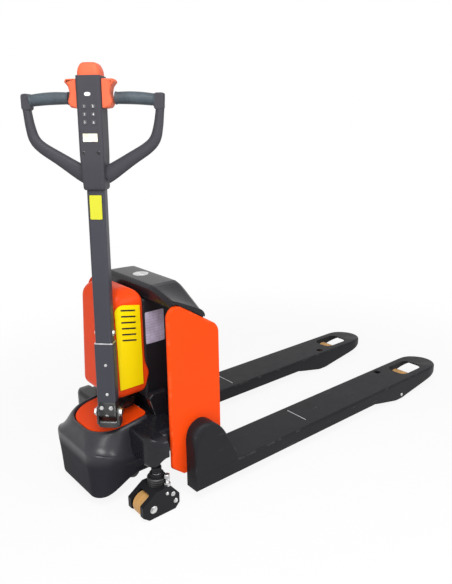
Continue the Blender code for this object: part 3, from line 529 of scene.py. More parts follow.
class Recipe(Nodes):
    """A material under construction: its nodes, and the Principled shader that they feed."""

    def __init__(self, name, **fixed):
        self.material = bpy.data.materials.new(f"{name}_finish")
        self.material.use_nodes = True
        super().__init__(self.material.node_tree)
        self.shader = self.tree.nodes["Principled BSDF"]
        for socket, value in fixed.items():
            self.shader.inputs[socket.replace("_", " ")].default_value = value
        self.place = self.node("ShaderNodeTexCoord", output="Object")

    def noise(self, scale, detail=2.0, stretch=(1, 1, 1)):
        """Clouds at so many to the metre, drawn out where stretch is below 1."""
        where = self.node("ShaderNodeMapping", (), {"Vector": self.place, "Scale": stretch})
        return self.node("ShaderNodeTexNoise", (), {"Vector": where, "Scale": scale, "Detail": detail})

    def axis(self, name):
        """One of the Object coordinates, in metres."""
        return self.node("ShaderNodeSeparateXYZ", (), {"Vector": self.place}, name)

    def wear(self):
        """1 along the piece's round edges, 0 on its flats."""
        return self.node("ShaderNodeAttribute", {"attribute_name": "edge_wear"}, output="Fac")

    def blend(self, factor, a, b):
        """Colour a where the factor is 0 and b where it is 1."""
        a, b = ((*colour, 1) if isinstance(colour, tuple) else colour for colour in (a, b))
        links = {MIX_FACTOR: factor, MIX_A: a, MIX_B: b}
        return self.node("ShaderNodeMix", {"data_type": "RGBA"}, links, MIX_RESULT)

    def mottle(self, cloud, colour, low, high, span=CLOUD_SPAN):
        """A colour that clouds vary between two shares of itself."""
        return self.blend(cloud.between(*span), scaled(colour, low), scaled(colour, high))

    def finish(self, colour, roughness, height=None, depth=0.0):
        """Feeds the shader; the height becomes a relief of so many metres."""
        self.feed(self.shader.inputs["Base Color"], colour)
        self.feed(self.shader.inputs["Roughness"], roughness)
        if height is not None:
            links = {"Height": height, "Distance": depth, "Strength": 1.0}
            self.feed(self.shader.inputs["Normal"], self.node("ShaderNodeBump", (), links))
        return self.material


def scaled(colour, factor):
    """A colour made lighter or darker."""
    return tuple(min(1.0, channel * factor) for channel in colour)


def grey(level, blue=1.0):
    """A grey, with its blue raised or lowered."""
    return (level, level, min(1.0, level * blue))


DUST_COLOUR, DUST_TOP = (0.32, 0.29, 0.25), 0.22


def coated(name, colour, gloss, grain, depth, spread, worn=None, specular=0.5):
    """A painted or moulded coat.

    Slow clouds vary its tone by spread, fine clouds at grain to the metre give its skin, dust dulls it near
    the floor, and where worn is given its round edges rub through in patches to that colour.
    """
    made = Recipe(name, Specular_IOR_Level=specular)
    cloud, skin, patch = made.noise(3.0, 4.0), made.noise(grain, 2.0), made.noise(38.0, 5.0)
    base = made.mottle(cloud, colour, 1 - spread, 1 + spread)
    dust = (1 - made.axis("Z").between(0.0, DUST_TOP)) * patch.between(0.42, 0.75)
    base = made.blend(dust * 0.04, base, DUST_COLOUR)
    roughness = gloss + (cloud - 0.5) * 0.12 + (patch - 0.5) * 0.10 + dust * 0.10
    if worn is not None:
        rub = made.wear() * patch.between(0.50, 0.68)
        base = made.blend(rub * 0.25, base, worn)
        roughness = roughness + rub * 0.15
    return made.finish(base, roughness, skin, depth)


def orange_powder(colours):
    """Powder coat of the frame's panels and the inset, paler along its edges."""
    return coated(
        "orange_powder", colours.orange, gloss=0.36, grain=520.0, depth=0.00010, spread=0.05,
        worn=(0.80, 0.22, 0.09), specular=0.07,
    )


def orange_moulded(colours):
    """Smooth moulded plastic of the front body."""
    return coated(
        "orange_moulded", colours.moulded, gloss=0.38, grain=900.0, depth=0.00006, spread=0.05, specular=0.12
    )


def orange_controls(colours):
    """Soft orange plastic that hands have dulled."""
    return coated(
        "orange_controls", colours.controls, gloss=0.46, grain=900.0, depth=0.00008, spread=0.06,
        specular=0.12,
    )


def lemon_film(colours):
    """Printed film of the pole's decal."""
    return coated(
        "lemon_film", colours.lemon, gloss=0.40, grain=300.0, depth=0.00003, spread=0.04, specular=0.15
    )


def yellow_sheet(colours):
    """Painted sheet of the vent panel, rubbed duller along its edges."""
    return coated(
        "yellow_sheet", colours.yellow, gloss=0.42, grain=420.0, depth=0.00005, spread=0.04,
        worn=(0.85, 0.62, 0.10), specular=0.10,
    )


def black_moulded(colours):
    """Glossy moulded plastic with a fine leather grain, rubbed lighter along its edges."""
    return coated(
        "black_moulded", colours.black, gloss=0.27, grain=1100.0, depth=0.00004, spread=0.14,
        worn=grey(0.07, 1.1), specular=0.24,
    )


# Heights between which the cover's clear coat, a painted sheen, grows over the shoulder
SHOULDER_Z = (0.135, 0.185)


def cover_black(colours):
    """Dull plastic by a low IOR, a painted shade; a clear coat between two heights, in clouds, is a painted
    sheen on its shoulder.
    """
    made = Recipe("cover_black", IOR=1.08, Coat_Roughness=0.34)
    cloud, skin, patch = made.noise(3.0, 4.0), made.noise(1100.0, 2.0), made.noise(38.0, 5.0)
    base = made.mottle(cloud, colours.black, 1.5, 2.1)
    # The coat between these heights is a painted sheen where the highlight falls on the shoulder
    painted_sheen = made.axis("Z").between(*SHOULDER_Z) * (0.70 + patch * 0.4)
    made.feed(made.shader.inputs["Coat Weight"], painted_sheen)
    return made.finish(base, 0.40 + (cloud - 0.5) * 0.12 + (patch - 0.5) * 0.10, skin, depth=0.00004)


def charcoal_moulded(colours):
    """The tiller's grey plastic: dull, stippled, paler where it is rubbed."""
    return coated(
        "charcoal_moulded", colours.charcoal, gloss=0.50, grain=900.0, depth=0.00010, spread=0.08,
        worn=grey(0.16, 1.08), specular=0.14,
    )


def black_box(colours):
    """Dull black plastic of the battery box and the tank."""
    return coated(
        "black_box", scaled(colours.black, 0.85), gloss=0.42, grain=700.0, depth=0.00010, spread=0.12,
        specular=0.30,
    )


def fork_black(colours):
    """Satin black paint, with long faint scratches drawn out along the forks and scuffs on the edges."""
    made = Recipe("fork_black", Specular_IOR_Level=0.13)
    cloud, skin, patch = made.noise(2.4, 4.0), made.noise(480.0, 2.0), made.noise(30.0, 6.0)
    drawn = made.noise(210.0, 3.0, (1.0, 0.03, 1.0))
    base = made.mottle(cloud, colours.fork, 0.82, 1.2)
    scratch = drawn.between(0.66, 0.74) * patch.between(0.48, 0.62)
    base = made.blend(scratch * 0.35, base, grey(0.16))
    rub = made.wear() * patch.between(0.52, 0.66)
    base = made.blend(rub * 0.22, base, grey(0.11))
    roughness = 0.46 + (cloud - 0.5) * 0.14 + (patch - 0.5) * 0.14 - scratch * 0.08
    return made.finish(base, roughness, skin + scratch * -0.6, depth=0.00010)


def pole_grey(colours):
    """Textured grey paint of the pole and its sleeve, pale along the edges."""
    return coated(
        "pole_grey", colours.pole, gloss=0.44, grain=620.0, depth=0.00014, spread=0.08, worn=grey(0.20, 1.08),
        specular=0.30,
    )


def grip_rubber(colours):
    """Soft rubber: a fine stipple, darker and smoother where hands polish it."""
    made = Recipe("grip_rubber", Specular_IOR_Level=0.35)
    cloud, stipple = made.noise(14.0, 4.0), made.noise(1500.0, 1.0)
    base = made.mottle(cloud, colours.grip, 0.82, 1.15, (0.35, 0.7))
    return made.finish(base, 0.58 - cloud * 0.14, stipple, depth=0.00020)


def tan_polyurethane(colours):
    """Cast tread: amber with a grey film of floor dirt in streaks round the wheel."""
    made = Recipe("tan_polyurethane", Specular_IOR_Level=0.45, Subsurface_Weight=0.05)
    streak, speck = made.noise(60.0, 4.0, (1.0, 0.15, 0.15)), made.noise(240.0, 4.0)
    base = made.mottle(streak, colours.tread, 1.05, 0.74, (0.35, 0.7))
    base = made.blend(speck.between(0.58, 0.72) * 0.35, base, grey(0.10))
    return made.finish(base, 0.42 + speck * 0.2, speck, depth=0.00012)


def tyre_rubber_and_shade(colours):
    """Dull black rubber under a grey film, also the dark painted shade behind the vent's slots."""
    made = Recipe("tyre_rubber_and_shade", Specular_IOR_Level=0.3)
    film, speck = made.noise(26.0, 5.0), made.noise(520.0, 3.0)
    base = made.blend(film.between(0.35, 0.75), grey(0.022), grey(0.05))
    return made.finish(base, 0.70 + film * 0.15, speck, depth=0.00020)


def zinc_plate_and_highlight(colours):
    """Bright zinc: a brushed metal with slow passivation clouds, also on the rods that are painted highlights
    along the collar's upstands.
    """
    made = Recipe("zinc_plate_and_highlight", Metallic=1.0)
    cloud, brushed = made.noise(70.0, 3.0), made.noise(900.0, 2.0, (1.0, 0.2, 1.0))
    base = made.blend(cloud.between(*CLOUD_SPAN), grey(0.50, 1.02), grey(0.74, 0.98))
    return made.finish(base, 0.26 + cloud * 0.16, brushed, depth=0.00004)


def dark_steel(colours):
    """Blackened steel castings, glossy with oil, bare on the rubbed edges."""
    made = Recipe("dark_steel", Metallic=0.7, Specular_IOR_Level=0.5)
    cloud, grit = made.noise(24.0, 5.0), made.noise(420.0, 3.0)
    base = made.blend(cloud.between(0.35, 0.7), grey(0.035, 1.05), grey(0.085, 1.02))
    base = made.blend(made.wear() * grit.between(0.45, 0.6) * 0.6, base, grey(0.35))
    return made.finish(base, 0.30 + cloud * 0.18, grit, depth=0.00015)


PLATE_ROW, PLATE_FIELD = 0.0085, 0.0310


def plate_foil(colours):
    """A lilac silver rating plate ruled in blank fields: a thin dark line where z or y enters each one."""
    made = Recipe("plate_foil", Specular_IOR_Level=0.3)
    row, field = (
        made.node("ShaderNodeMath", {"operation": "FRACT"}, {0: made.axis(axis) * (1 / pitch)})
        for axis, pitch in (("Z", PLATE_ROW), ("Y", PLATE_FIELD))
    )
    rule = made.math("MAXIMUM", 1 - row.between(0.06, 0.12), 1 - field.between(0.012, 0.03))
    cloud = made.noise(60.0, 4.0)
    base = made.blend(rule * 0.55, made.mottle(cloud, colours.foil, 0.86, 1.1), (0.09, 0.09, 0.14))
    return made.finish(base, 0.34 + cloud * 0.12, cloud, depth=0.00004)


def white_print(colours):
    """White print, rubbed grey in patches."""
    made = Recipe("white_print", Specular_IOR_Level=0.4)
    rubbed = made.noise(160.0, 4.0)
    return made.finish(made.blend(rubbed.between(0.5, 0.75), grey(0.80), grey(0.55)), 0.5 + rubbed * 0.1)


def cream_label(colours):
    """A blank paper label under film, yellowed in patches."""
    made = Recipe("cream_label", Specular_IOR_Level=0.5)
    cloud = made.noise(45.0, 3.0)
    base = made.blend(cloud.between(0.35, 0.65), (0.86, 0.84, 0.78), (0.84, 0.76, 0.54))
    return made.finish(base, 0.3 + cloud * 0.1)


def clear_lamp(colours):
    """A bright faceted lens."""
    made = Recipe("clear_lamp", Specular_IOR_Level=0.6)
    facet = made.noise(380.0, 1.0)
    return made.finish(made.blend(facet.between(0.4, 0.6), grey(0.62, 1.03), grey(0.9)), 0.12 + facet * 0.1)


def key_cap(colours):
    """Soft dark plastic of the keys."""
    return coated(
        "key_cap", scaled(colours.charcoal, 0.8), gloss=0.40, grain=900.0, depth=0.00005, spread=0.08
    )


# Every finish takes the user's colours, also those whose tones are fixed
FINISHES = {
    recipe.__name__: recipe
    for recipe in (
        orange_powder, orange_moulded, orange_controls, yellow_sheet, lemon_film, black_moulded, cover_black,
        charcoal_moulded, black_box, fork_black, pole_grey, grip_rubber, tan_polyurethane, tyre_rubber_and_shade,
        zinc_plate_and_highlight, dark_steel, plate_foil, white_print, cream_label, clear_lamp, key_cap,
    )
}


def finish_of(name):
    """A finish by its name, made once."""
    title = f"{name}_finish"
    if title not in bpy.data.materials:
        FINISHES[name](bpy.context.scene.truck_colours)
    return bpy.data.materials[title]


def length(name, text, default, low=0.0, high=1.0):
    """A size in metres that a user would change."""
    return bpy.props.FloatProperty(
        name=name, description=text, default=default, min=low, max=high, precision=4, unit="LENGTH"
    )


def colour(name, text, default):
    """A colour that a user would change."""
    return bpy.props.FloatVectorProperty(
        name=name, description=text, default=default, min=0.0, max=1.0, size=3, subtype="COLOR"
    )


class TruckSizes(bpy.types.PropertyGroup):
    """Sizes of the visible surfaces that a user would change."""

    fork_edge: length("Fork edge", "Radius of the folded edge along a fork's top", 0.007)
    fork_steel: length("Fork steel", "Thickness of the fork's folded plate", 0.005)
    nose_fall: length("Nose fall", "How far the fork's top falls towards its tip", 0.005)
    hood_edge: length("Hood edge", "Radius of the heel gusset's edges", 0.006)
    hood_nose: length("Hood nose", "Extra radius at the heel gusset's shoulder", 0.020)
    panel_edge: length("Panel edge", "Radius of the side panel's outer edge", 0.0085)
    cover_wall: length("Cover wall", "Wall of the moulded covers", 0.0035)
    louvre_height: length("Louvre height", "Height of one slot of the vent panel", 0.0056)
    louvres: bpy.props.IntProperty(
        name="Louvres", description="Slots in the vent panel", default=6, min=1, max=12
    )
    grip_bow: length("Grip bow", "How far a grip bows up in its middle", 0.0022)
    loop_depth: length("Loop depth", "Thickness of a handle loop along the truck", 0.024)


class TruckColours(bpy.types.PropertyGroup):
    """Colours of the finishes."""

    orange: colour("Orange paint", "Powder coat of the panels", (0.92, 0.070, 0.0060))
    moulded: colour("Orange plastic", "Front body", (0.88, 0.066, 0.0080))
    controls: colour("Orange controls", "Throttle paddles and belly button", (0.80, 0.150, 0.070))
    yellow: colour("Yellow", "Vent panel", (1.0, 0.72, 0.0020))
    lemon: colour("Lemon", "Film of the pole's decal", (0.66, 0.65, 0.040))
    black: colour("Black plastic", "Drive cover, arch and wings", (0.0130, 0.0130, 0.0165))
    charcoal: colour("Grey plastic", "Tiller head and handle loops", (0.055, 0.054, 0.064))
    fork: colour("Fork paint", "Forks, gussets and base", (0.0135, 0.0135, 0.0160))
    pole: colour("Pole paint", "Tiller pole and sleeve", (0.042, 0.042, 0.055))
    grip: colour("Grip rubber", "Hand grips", (0.058, 0.075, 0.090))
    tread: colour("Tread", "Polyurethane of the rollers", (0.64, 0.35, 0.114))
    foil: colour("Plate", "Rating plate", (0.54, 0.50, 0.66))


class Builder:
    """What every operator of the truck shares: it can be undone, and it reads the user's sizes."""

    bl_options = {"REGISTER", "UNDO"}

    @property
    def sizes(self):
        """The user's sizes."""
        return bpy.context.scene.truck_sizes


FORK_LOW, FORK_HIGH = cad_box("fork_right")
FORK_MIDDLE = float(FORK_LOW[0] + FORK_HIGH[0]) / 2
FORK_TOP = float(FORK_HIGH[2])
FORK_HEEL, FORK_TIP = float(FORK_LOW[1]), float(FORK_HIGH[1])
# The seat under the gusset: its level, the inner corner of the heel's block, and the thin step behind it
HEEL_TOP = FORK_TOP - 0.001
HEEL_FOOT = HEEL_TOP + CAD_GAP
HEEL_BLOCK_X, HEEL_CORNER_Y, HEEL_STEP = 0.2275, -0.462, 2e-5
SEAT_EDGE, SEAT_STEP_Y, EDGE_START_Y = 0.0006, (-0.352, -0.348), (-0.372, -0.345)
HEEL_PLATE_Y = (FORK_HEEL - 0.0003, FORK_HEEL + 0.010)
NOSE_Y, TIP_CURVE_Y, TIP_POWER = 0.69, 0.684, 2.15
# The lower edge of the side wall, along the truck
LIP_Y = (-0.60, 0.336, 0.352, 0.470, 0.512, 0.535, 0.600, 0.660, 0.710, 0.750, 0.780, 0.800)
LIP_Z = (0.0405, 0.0405, 0.036, 0.0115, 0.0115, 0.016, 0.026, 0.0355, 0.0445, 0.0530, 0.0605, 0.0660)
HEEL_PLATE_Z = (LIP_Z[0] - 0.0002, HEEL_TOP - 0.0001)
SLOT_CENTRE_Y, SLOT_HALF_X, SLOT_HALF_Y, SLOT_ROUND = 0.6225, 0.043, 0.0655, 0.62
LEVER_HOLE_X, LEVER_HOLE_Y, LEVER_HOLE_HALF, LEVER_HOLE_ROUND = 0.156, 0.499, 0.012, 0.004
CUT_Z = (0.065, 0.110)
MARKER_Y, MARKER_X, MARKER_WIDTH, MARKER_Z = -0.014, (0.150, 0.239), 0.0024, (-0.0004, 0.0002)
AXLE_BOLT_Y, AXLE_BOLT_Z, AXLE_BOLT_R = 0.506, 0.026, 0.0065
AXLE_BOLT_SUNK, AXLE_BOLT_HEIGHT, AXLE_BOLT_EDGE = 0.002, 0.0028, 0.0018


def fork_skin(sizes):
    """One fork's skin about its centre line, on a (u, v) grid.

    u runs up one side of the plan, round a superelliptic tip and down the other. v climbs the side wall from
    the lip, turns a quarter circle at the edge and crosses the flat top to the centre line. Behind the heel's
    corner only the outer strip goes on, so u starts later on the inner side.
    """
    half = float(FORK_HIGH[0] - FORK_LOW[0]) / 2 - SKIN_INSET
    behind = np.linspace(FORK_HEEL, HEEL_CORNER_Y - HEEL_STEP, 8)
    straight = np.concatenate([behind, np.linspace(HEEL_CORNER_Y, TIP_CURVE_Y, 82, endpoint=False)])
    angle = np.linspace(np.pi, 0, 49)
    across = np.sign(np.cos(angle)) * np.abs(np.cos(angle)) ** (2 / TIP_POWER) * half
    along = TIP_CURVE_Y + (FORK_TIP - TIP_CURVE_Y) * np.sin(angle).clip(0) ** (2 / TIP_POWER)
    x = np.concatenate([np.full(len(straight), -half), across, np.full(len(straight), half)])
    y = np.concatenate([straight, along, straight[::-1]])
    ahead = unit(np.stack([np.gradient(x), np.gradient(y)], -1))
    normal = np.stack([ahead[:, 1], -ahead[:, 0]], -1)
    block = y < HEEL_CORNER_Y - HEEL_STEP / 2
    y = np.where(x < 0, np.maximum(y, HEEL_CORNER_Y), y)
    lip = np.interp(y, LIP_Y, LIP_Z)
    radius = SEAT_EDGE + sizes.fork_edge * ease(y, *EDGE_START_Y)
    seat = (FORK_TOP - HEEL_TOP) * (1 - ease(y, *SEAT_STEP_Y))
    spine_top = FORK_TOP - SKIN_INSET / 4 - seat
    top = spine_top - sizes.nose_fall * ease(y, NOSE_Y, FORK_TIP) ** 2
    wall = np.linspace(0, 1, 5)[:-1]
    bend = np.linspace(0, np.pi / 2, 6)
    inset = np.concatenate([0 * wall, 1 - np.cos(bend)])[None] * radius[:, None]
    rise = lip[:, None] + wall * (top - radius - lip)[:, None]
    height = np.concatenate([rise, (top - radius)[:, None] + np.sin(bend) * radius[:, None]], 1)
    edge = np.stack([x[:, None] + normal[:, :1] * inset, y[:, None] + normal[:, 1:] * inset, height], -1)
    spine_x = np.where(block & (x > 0), HEEL_BLOCK_X - FORK_MIDDLE, 0)
    spine = np.stack([spine_x, np.minimum(y, TIP_CURVE_Y), spine_top], -1)[:, None]
    share = np.array([0.3, 0.65, 1.0])[:, None]
    grid = np.concatenate([edge, edge[:, -1:] + (spine - edge[:, -1:]) * share], 1)
    marks = np.concatenate([0 * wall, np.sin(2 * bend), 0 * share[:, 0]])
    return sheet(grid, np.broadcast_to(marks, grid.shape[:2]).ravel())


class TRUCK_OT_forks(Builder, bpy.types.Operator):
    """Folded forks with their roller slots, heel plates, marker lines and axle bolts"""

    bl_idname = "truck.forks"
    bl_label = "Forks"

    def execute(self, context):
        slot = centred((SLOT_HALF_X, SLOT_HALF_Y), SLOT_HALF_X * SLOT_ROUND, centre=(0, SLOT_CENTRE_Y))
        for side, label in SIDES:
            middle = DRAWING @ shift(side * FORK_MIDDLE, 0, 0)
            hole_place = (side * (LEVER_HOLE_X - FORK_MIDDLE), LEVER_HOLE_Y)
            hole = centred((LEVER_HOLE_HALF, LEVER_HOLE_HALF), LEVER_HOLE_ROUND, centre=hole_place)
            cutters = [mesh_of("hole", [prism(outline, *CUT_Z, "Z")], middle) for outline in (slot, hole)]
            skin = mirrored([fork_skin(self.sizes)], side)
            fork = shell_of(f"fork_skin_{label}", skin, self.sizes.fork_steel, middle, cutters)
            finished(fork, "fork_black", "fork_frame", [f"fork_{label}"])
            self.fittings(side, label)
        return {"FINISHED"}

    def fittings(self, side, label):
        """The heel's end plate, the painted marker line and the axle bolt's head."""
        low, high = zip((HEEL_BLOCK_X, FORK_HIGH[0] - SKIN_INSET / 2), HEEL_PLATE_Z)
        plate = prism(rectangle(low, high, 0.001), *HEEL_PLATE_Y, "Y", low_edge=0.0009, high_edge=0.001)
        low, high = ((x, MARKER_Y + end * MARKER_WIDTH / 2) for x, end in zip(MARKER_X, (-1, 1)))
        foot, top = (FORK_TOP + z for z in MARKER_Z)
        strip = prism(rectangle(low, high, 0.0008, 3), foot, top, "Z", high_edge=0.0001, steps=1)
        start = (FORK_HIGH[0] - SKIN_INSET - AXLE_BOLT_SUNK, AXLE_BOLT_Y, AXLE_BOLT_Z)
        head = disc(start, (1, 0, 0), AXLE_BOLT_R, AXLE_BOLT_HEIGHT, AXLE_BOLT_EDGE, 24)
        for name, shell, finish, slot in (
            ("fork_heel", plate, "fork_black", "fork_paint"),
            ("fork_marker", strip, "white_print", "plate_foil"),
            ("axle_bolt", head, "zinc_plate_and_highlight", "zinc_steel"),
        ):
            make(f"{name}_{label}", mirrored([shell], side), finish, "fork_frame")


# The gusset's hood in (y, z), from its upright back over the top to its toe, and its broad shoulder
HOOD_LINE = (
    (-0.517, 0.150), (-0.517, 0.196), (-0.508, 0.226), (-0.489, 0.243), (-0.466, 0.2485), (-0.442, 0.240),
    (-0.415, 0.215), (-0.392, 0.178), (-0.372, 0.140), (-0.358, 0.115),
)
HOOD_TOE_Y, HOOD_FADE = -0.354, 0.04
HOOD_NOSE_Y, HOOD_NOSE_Z, HOOD_NOSE_REACH = -0.506, 0.226, 0.042


class TRUCK_OT_heel_gussets(Builder, bpy.types.Operator):
    """Hooded gussets where the forks meet the frame, with a broad round shoulder"""

    bl_idname = "truck.heel_gussets"
    bl_label = "Heel gussets"

    def execute(self, context):
        back_y, back_top = HOOD_LINE[0]
        back = np.linspace((back_y, HEEL_FOOT), (back_y, back_top), 6, endpoint=False)
        outline = np.concatenate([[(HOOD_TOE_Y, HEEL_FOOT)], spline(HOOD_LINE, 60)[::-1], back[::-1]])
        y, z = outline.T
        near = bump_at(np.hypot(y - HOOD_NOSE_Y, z - HOOD_NOSE_Z), 0, HOOD_NOSE_REACH)
        edge = self.sizes.hood_edge + self.sizes.hood_nose * near
        edge = edge * ease(z, HEEL_FOOT, HEEL_FOOT + HOOD_FADE)
        inner, outer = cad_box("heel_gusset_right")[0][0], FORK_HIGH[0] - SKIN_INSET
        body = prism(outline, inner, outer, "X", low_edge=0.0005, high_edge=edge, steps=7)
        make_pair("heel_hood", [body], "fork_black", "fork_frame", "heel_gusset")
        return {"FINISHED"}


PANEL_CORNERS = (
    (-0.526, HEEL_FOOT), (-0.3850, HEEL_FOOT), (-0.3850, 0.519), (-0.567, 0.634), (-0.567, 0.115),
)
PANEL_RADII = (0.004, 0.003, 0.038, 0.032, 0.014)
PANEL_FADE, PANEL_BACK = 0.03, 0.0012


class TRUCK_OT_side_panels(Builder, bpy.types.Operator):
    """Orange side panels of the fork frame, rounded along their outer edge"""

    bl_idname = "truck.side_panels"
    bl_label = "Side panels"

    def execute(self, context):
        outline = rounded(PANEL_CORNERS, PANEL_RADII, 14)
        inner, outer = (corner[0] for corner in cad_box("side_panel_right"))
        edge = self.sizes.panel_edge * ease(outline[:, 1], HEEL_FOOT, HEEL_FOOT + PANEL_FADE)
        edge = np.minimum(edge, outer - inner - PANEL_BACK)
        body = prism(outline, inner, outer, "X", low_edge=0.001, high_edge=edge, steps=6)
        make_pair("frame_panel", [body], "orange_powder", "fork_frame", "side_panel")
        return {"FINISHED"}


# Sections of the arch at stations across the truck: its upper line from the operator's side to the forks'
# side, then its lower line back. Between them lie mixes of the crown and the end.
ARCH_STATIONS = (0.0, 0.112, 0.126, 0.140, 0.200, 0.2165, 0.2172, 0.2266)
ARCH_MIXES = (0.0, 0.0, 0.07, 0.20, 0.84, 1.0)
ARCH_CROWN = (
    (-0.5495, 0.608), (-0.5490, 0.632), (-0.5420, 0.6425), (-0.530, 0.645), (-0.468, 0.645), (-0.452, 0.640),
    (-0.437, 0.622), (-0.4315, 0.606), (-0.436, 0.6045), (-0.490, 0.6045), (-0.544, 0.6045),
)
ARCH_END = (
    (-0.5480, 0.602), (-0.5475, 0.612), (-0.5420, 0.6180), (-0.533, 0.6195), (-0.464, 0.588),
    (-0.449, 0.5800), (-0.4380, 0.567), (-0.4365, 0.552), (-0.441, 0.549), (-0.490, 0.578), (-0.535, 0.600),
)
ARCH_LIP = (
    (-0.5440, 0.6115), (-0.5435, 0.6145), (-0.5390, 0.6180), (-0.531, 0.6195), (-0.464, 0.588),
    (-0.449, 0.5800), (-0.4390, 0.568), (-0.4380, 0.5580), (-0.444, 0.5600), (-0.490, 0.5890),
    (-0.535, 0.6130),
)
DISC_PLACE, DISC_R = (-0.012, -0.496), 0.024


def arch_body(count=181):
    """The arch: sections interpolated across the truck between its stations, each a closed spline.

    The crown is level out to the shoulders, where the section falls and tapers to the panel's sloping top.
    """
    crown, end, lip = (np.array(section) for section in (ARCH_CROWN, ARCH_END, ARCH_LIP))
    sections = np.stack([crown + (end - crown) * mix for mix in ARCH_MIXES] + [lip, lip])
    x = np.linspace(-ARCH_STATIONS[-1], ARCH_STATIONS[-1], count)
    x = np.sort(np.concatenate([x, *(np.array(ARCH_STATIONS)[:, None] * (-1, 1)).T]))
    place = np.interp(np.abs(x), ARCH_STATIONS, np.arange(len(ARCH_STATIONS)))
    low = np.minimum(place.astype(int), len(ARCH_STATIONS) - 2)
    share = (place - low)[:, None, None]
    section = sections[low] * (1 - share) + sections[low + 1] * share
    curve = np.swapaxes(spline(np.swapaxes(section, 0, 1), 99, closed=True), 0, 1)
    return loft(np.concatenate([np.broadcast_to(x[:, None, None], (*curve.shape[:2], 1)), curve], -1))


class TRUCK_OT_arch(Builder, bpy.types.Operator):
    """Moulded arch over the frame, with a plain disc on its crown"""

    bl_idname = "truck.arch"
    bl_label = "Arch"

    def execute(self, context):
        make("arch_moulding", [arch_body()], "black_moulded", "fork_frame", ["arch_cover"])
        for name, foot, radius, height, edge, finish, slot in (
            ("arch_disc_rim", 0.6446, DISC_R, 0.0016, 0.0006, "white_print", "plate_foil"),
            ("arch_disc", 0.6448, DISC_R * 0.84, 0.0018, 0.0004, "zinc_plate_and_highlight", "zinc_steel"),
        ):
            shell = disc((*DISC_PLACE, foot), (0, 0, 1), radius, height, edge)
            make(name, [shell], finish, "fork_frame")
        return {"FINISHED"}


BOX_ROUND, BOX_EDGE, PLATE_ROUND = 0.010, 0.006, 0.004
RIVET_R, RIVET_INSET, RIVET_SUNK, RIVET_HEIGHT, RIVET_EDGE = 0.0022, 0.005, 0.0003, 0.0012, 0.0008


class TRUCK_OT_power_box(Builder, bpy.types.Operator):
    """Battery box with its rating plate"""

    bl_idname = "truck.power_box"
    bl_label = "Battery box"

    def execute(self, context):
        low, high = cad_box("power_box")
        outline = rectangle(low[:2], high[:2], BOX_ROUND)
        skin = prism(outline, low[2], high[2], "Z", high_edge=BOX_EDGE, low_cap=False)
        box = shell_of("battery_box", [skin], self.sizes.cover_wall)
        finished(box, "black_box", "fork_frame", ["power_box"])
        low, high = cad_box("data_plate")
        outline = rectangle(low[1:], high[1:], PLATE_ROUND)
        plate = prism(outline, low[0], high[0], "X", low_edge=0.0001, high_edge=0.0005)
        make("rating_plate", [plate], "plate_foil", "fork_frame", ["data_plate"])
        rivets = [
            disc((high[0] - RIVET_SUNK, y, z), (1, 0, 0), RIVET_R, RIVET_HEIGHT, RIVET_EDGE, 16)
            for y in (low[1] + RIVET_INSET, high[1] - RIVET_INSET)
            for z in (low[2] + RIVET_INSET, high[2] - RIVET_INSET)
        ]
        make("rating_plate_rivets", rivets, "zinc_plate_and_highlight", "fork_frame")
        return {"FINISHED"}


BODY_REAR_Y, BODY_DROP, BODY_LEAN, BODY_LEAN_Z = -0.661, 0.006, 0.014, (0.600, 0.330)
BODY_ROUND, BODY_FRONT_ROUND, BODY_DOME = 0.031, 0.010, 0.044
BODY_FOOT, BODY_FOOT_INSET = 0.024, 0.016
FLARE_Z, FLARE_HEIGHT, FLARE_REACH, FLARE_BAND = 0.374, 0.026, 0.0125, 0.012
LOUVRE_TOP, LOUVRE_PITCH, LOUVRE_Y, LOUVRE_TILT, LOUVRE_ROUND = 0.5790, 0.0178, (-0.637, -0.589), 0.19, 0.45
# How far the slot cutters reach past the panel, and the span of the dark sheets behind the slots, which are
# painted shade
LOUVRE_CUT, SHADE_SHEET_X = 0.01, (-0.0002, 0.0014)
VENT_CORNER = 0.026


def body_lean(z):
    """How far the body's rear lies back at a height: a straight line between two heights."""
    return BODY_LEAN * np.clip((np.asarray(z) - BODY_LEAN_Z[0]) / (BODY_LEAN_Z[1] - BODY_LEAN_Z[0]), 0, 1)


def round_over(depth, share):
    """How far a quarter circle of a depth lies inside at a share of it: d (1 - sqrt(1 - t^2))."""
    return depth * (1 - np.sqrt(1 - np.clip(share, 0, 1) ** 2))


def front_body():
    """The front body: rounded rectangles stacked upwards, inset at the foot and over the dome.

    The insets are quarter circles of the height. A bell curve in z pushes the forks' side out into the small
    flare beside the battery box, and the rear leans back towards the foot.
    """
    low, high = cad_box("front_cover")
    low[1:] = BODY_REAR_Y, low[2] - BODY_DROP
    into = np.sin(np.linspace(0, np.pi / 2, 9))
    z = np.concatenate([
        low[2] + BODY_FOOT * (1 - into[::-1]),
        np.linspace(low[2] + BODY_FOOT, high[2] - BODY_DOME, 26)[1:-1],
        high[2] - BODY_DOME * (1 - into),
    ])
    inset = round_over(BODY_FOOT_INSET, (low[2] + BODY_FOOT - z) / BODY_FOOT)
    inset = inset + round_over(BODY_DOME, (z - high[2] + BODY_DOME) / BODY_DOME)
    radii = (BODY_ROUND, BODY_ROUND, BODY_FRONT_ROUND, BODY_FRONT_ROUND)
    outline = rectangle(low[:2], high[:2], radii, 10)
    middle, reach = (low + high)[:2] / 2, (high - low)[:2] / 2
    plan = middle + (outline - middle) * (1 - inset[:, None, None] / reach)
    forward = (outline[:, 1] > high[1] - FLARE_BAND) * bump_at(z, FLARE_Z, FLARE_HEIGHT)[:, None]
    rearward = np.clip((middle[1] - outline[:, 1]) / (middle[1] - low[1] - BODY_ROUND), 0, 1)
    plan[..., 1] += FLARE_REACH * forward - body_lean(z)[:, None] * rearward
    return loft(lifted(plan, z[:, None]), low_cap=False)


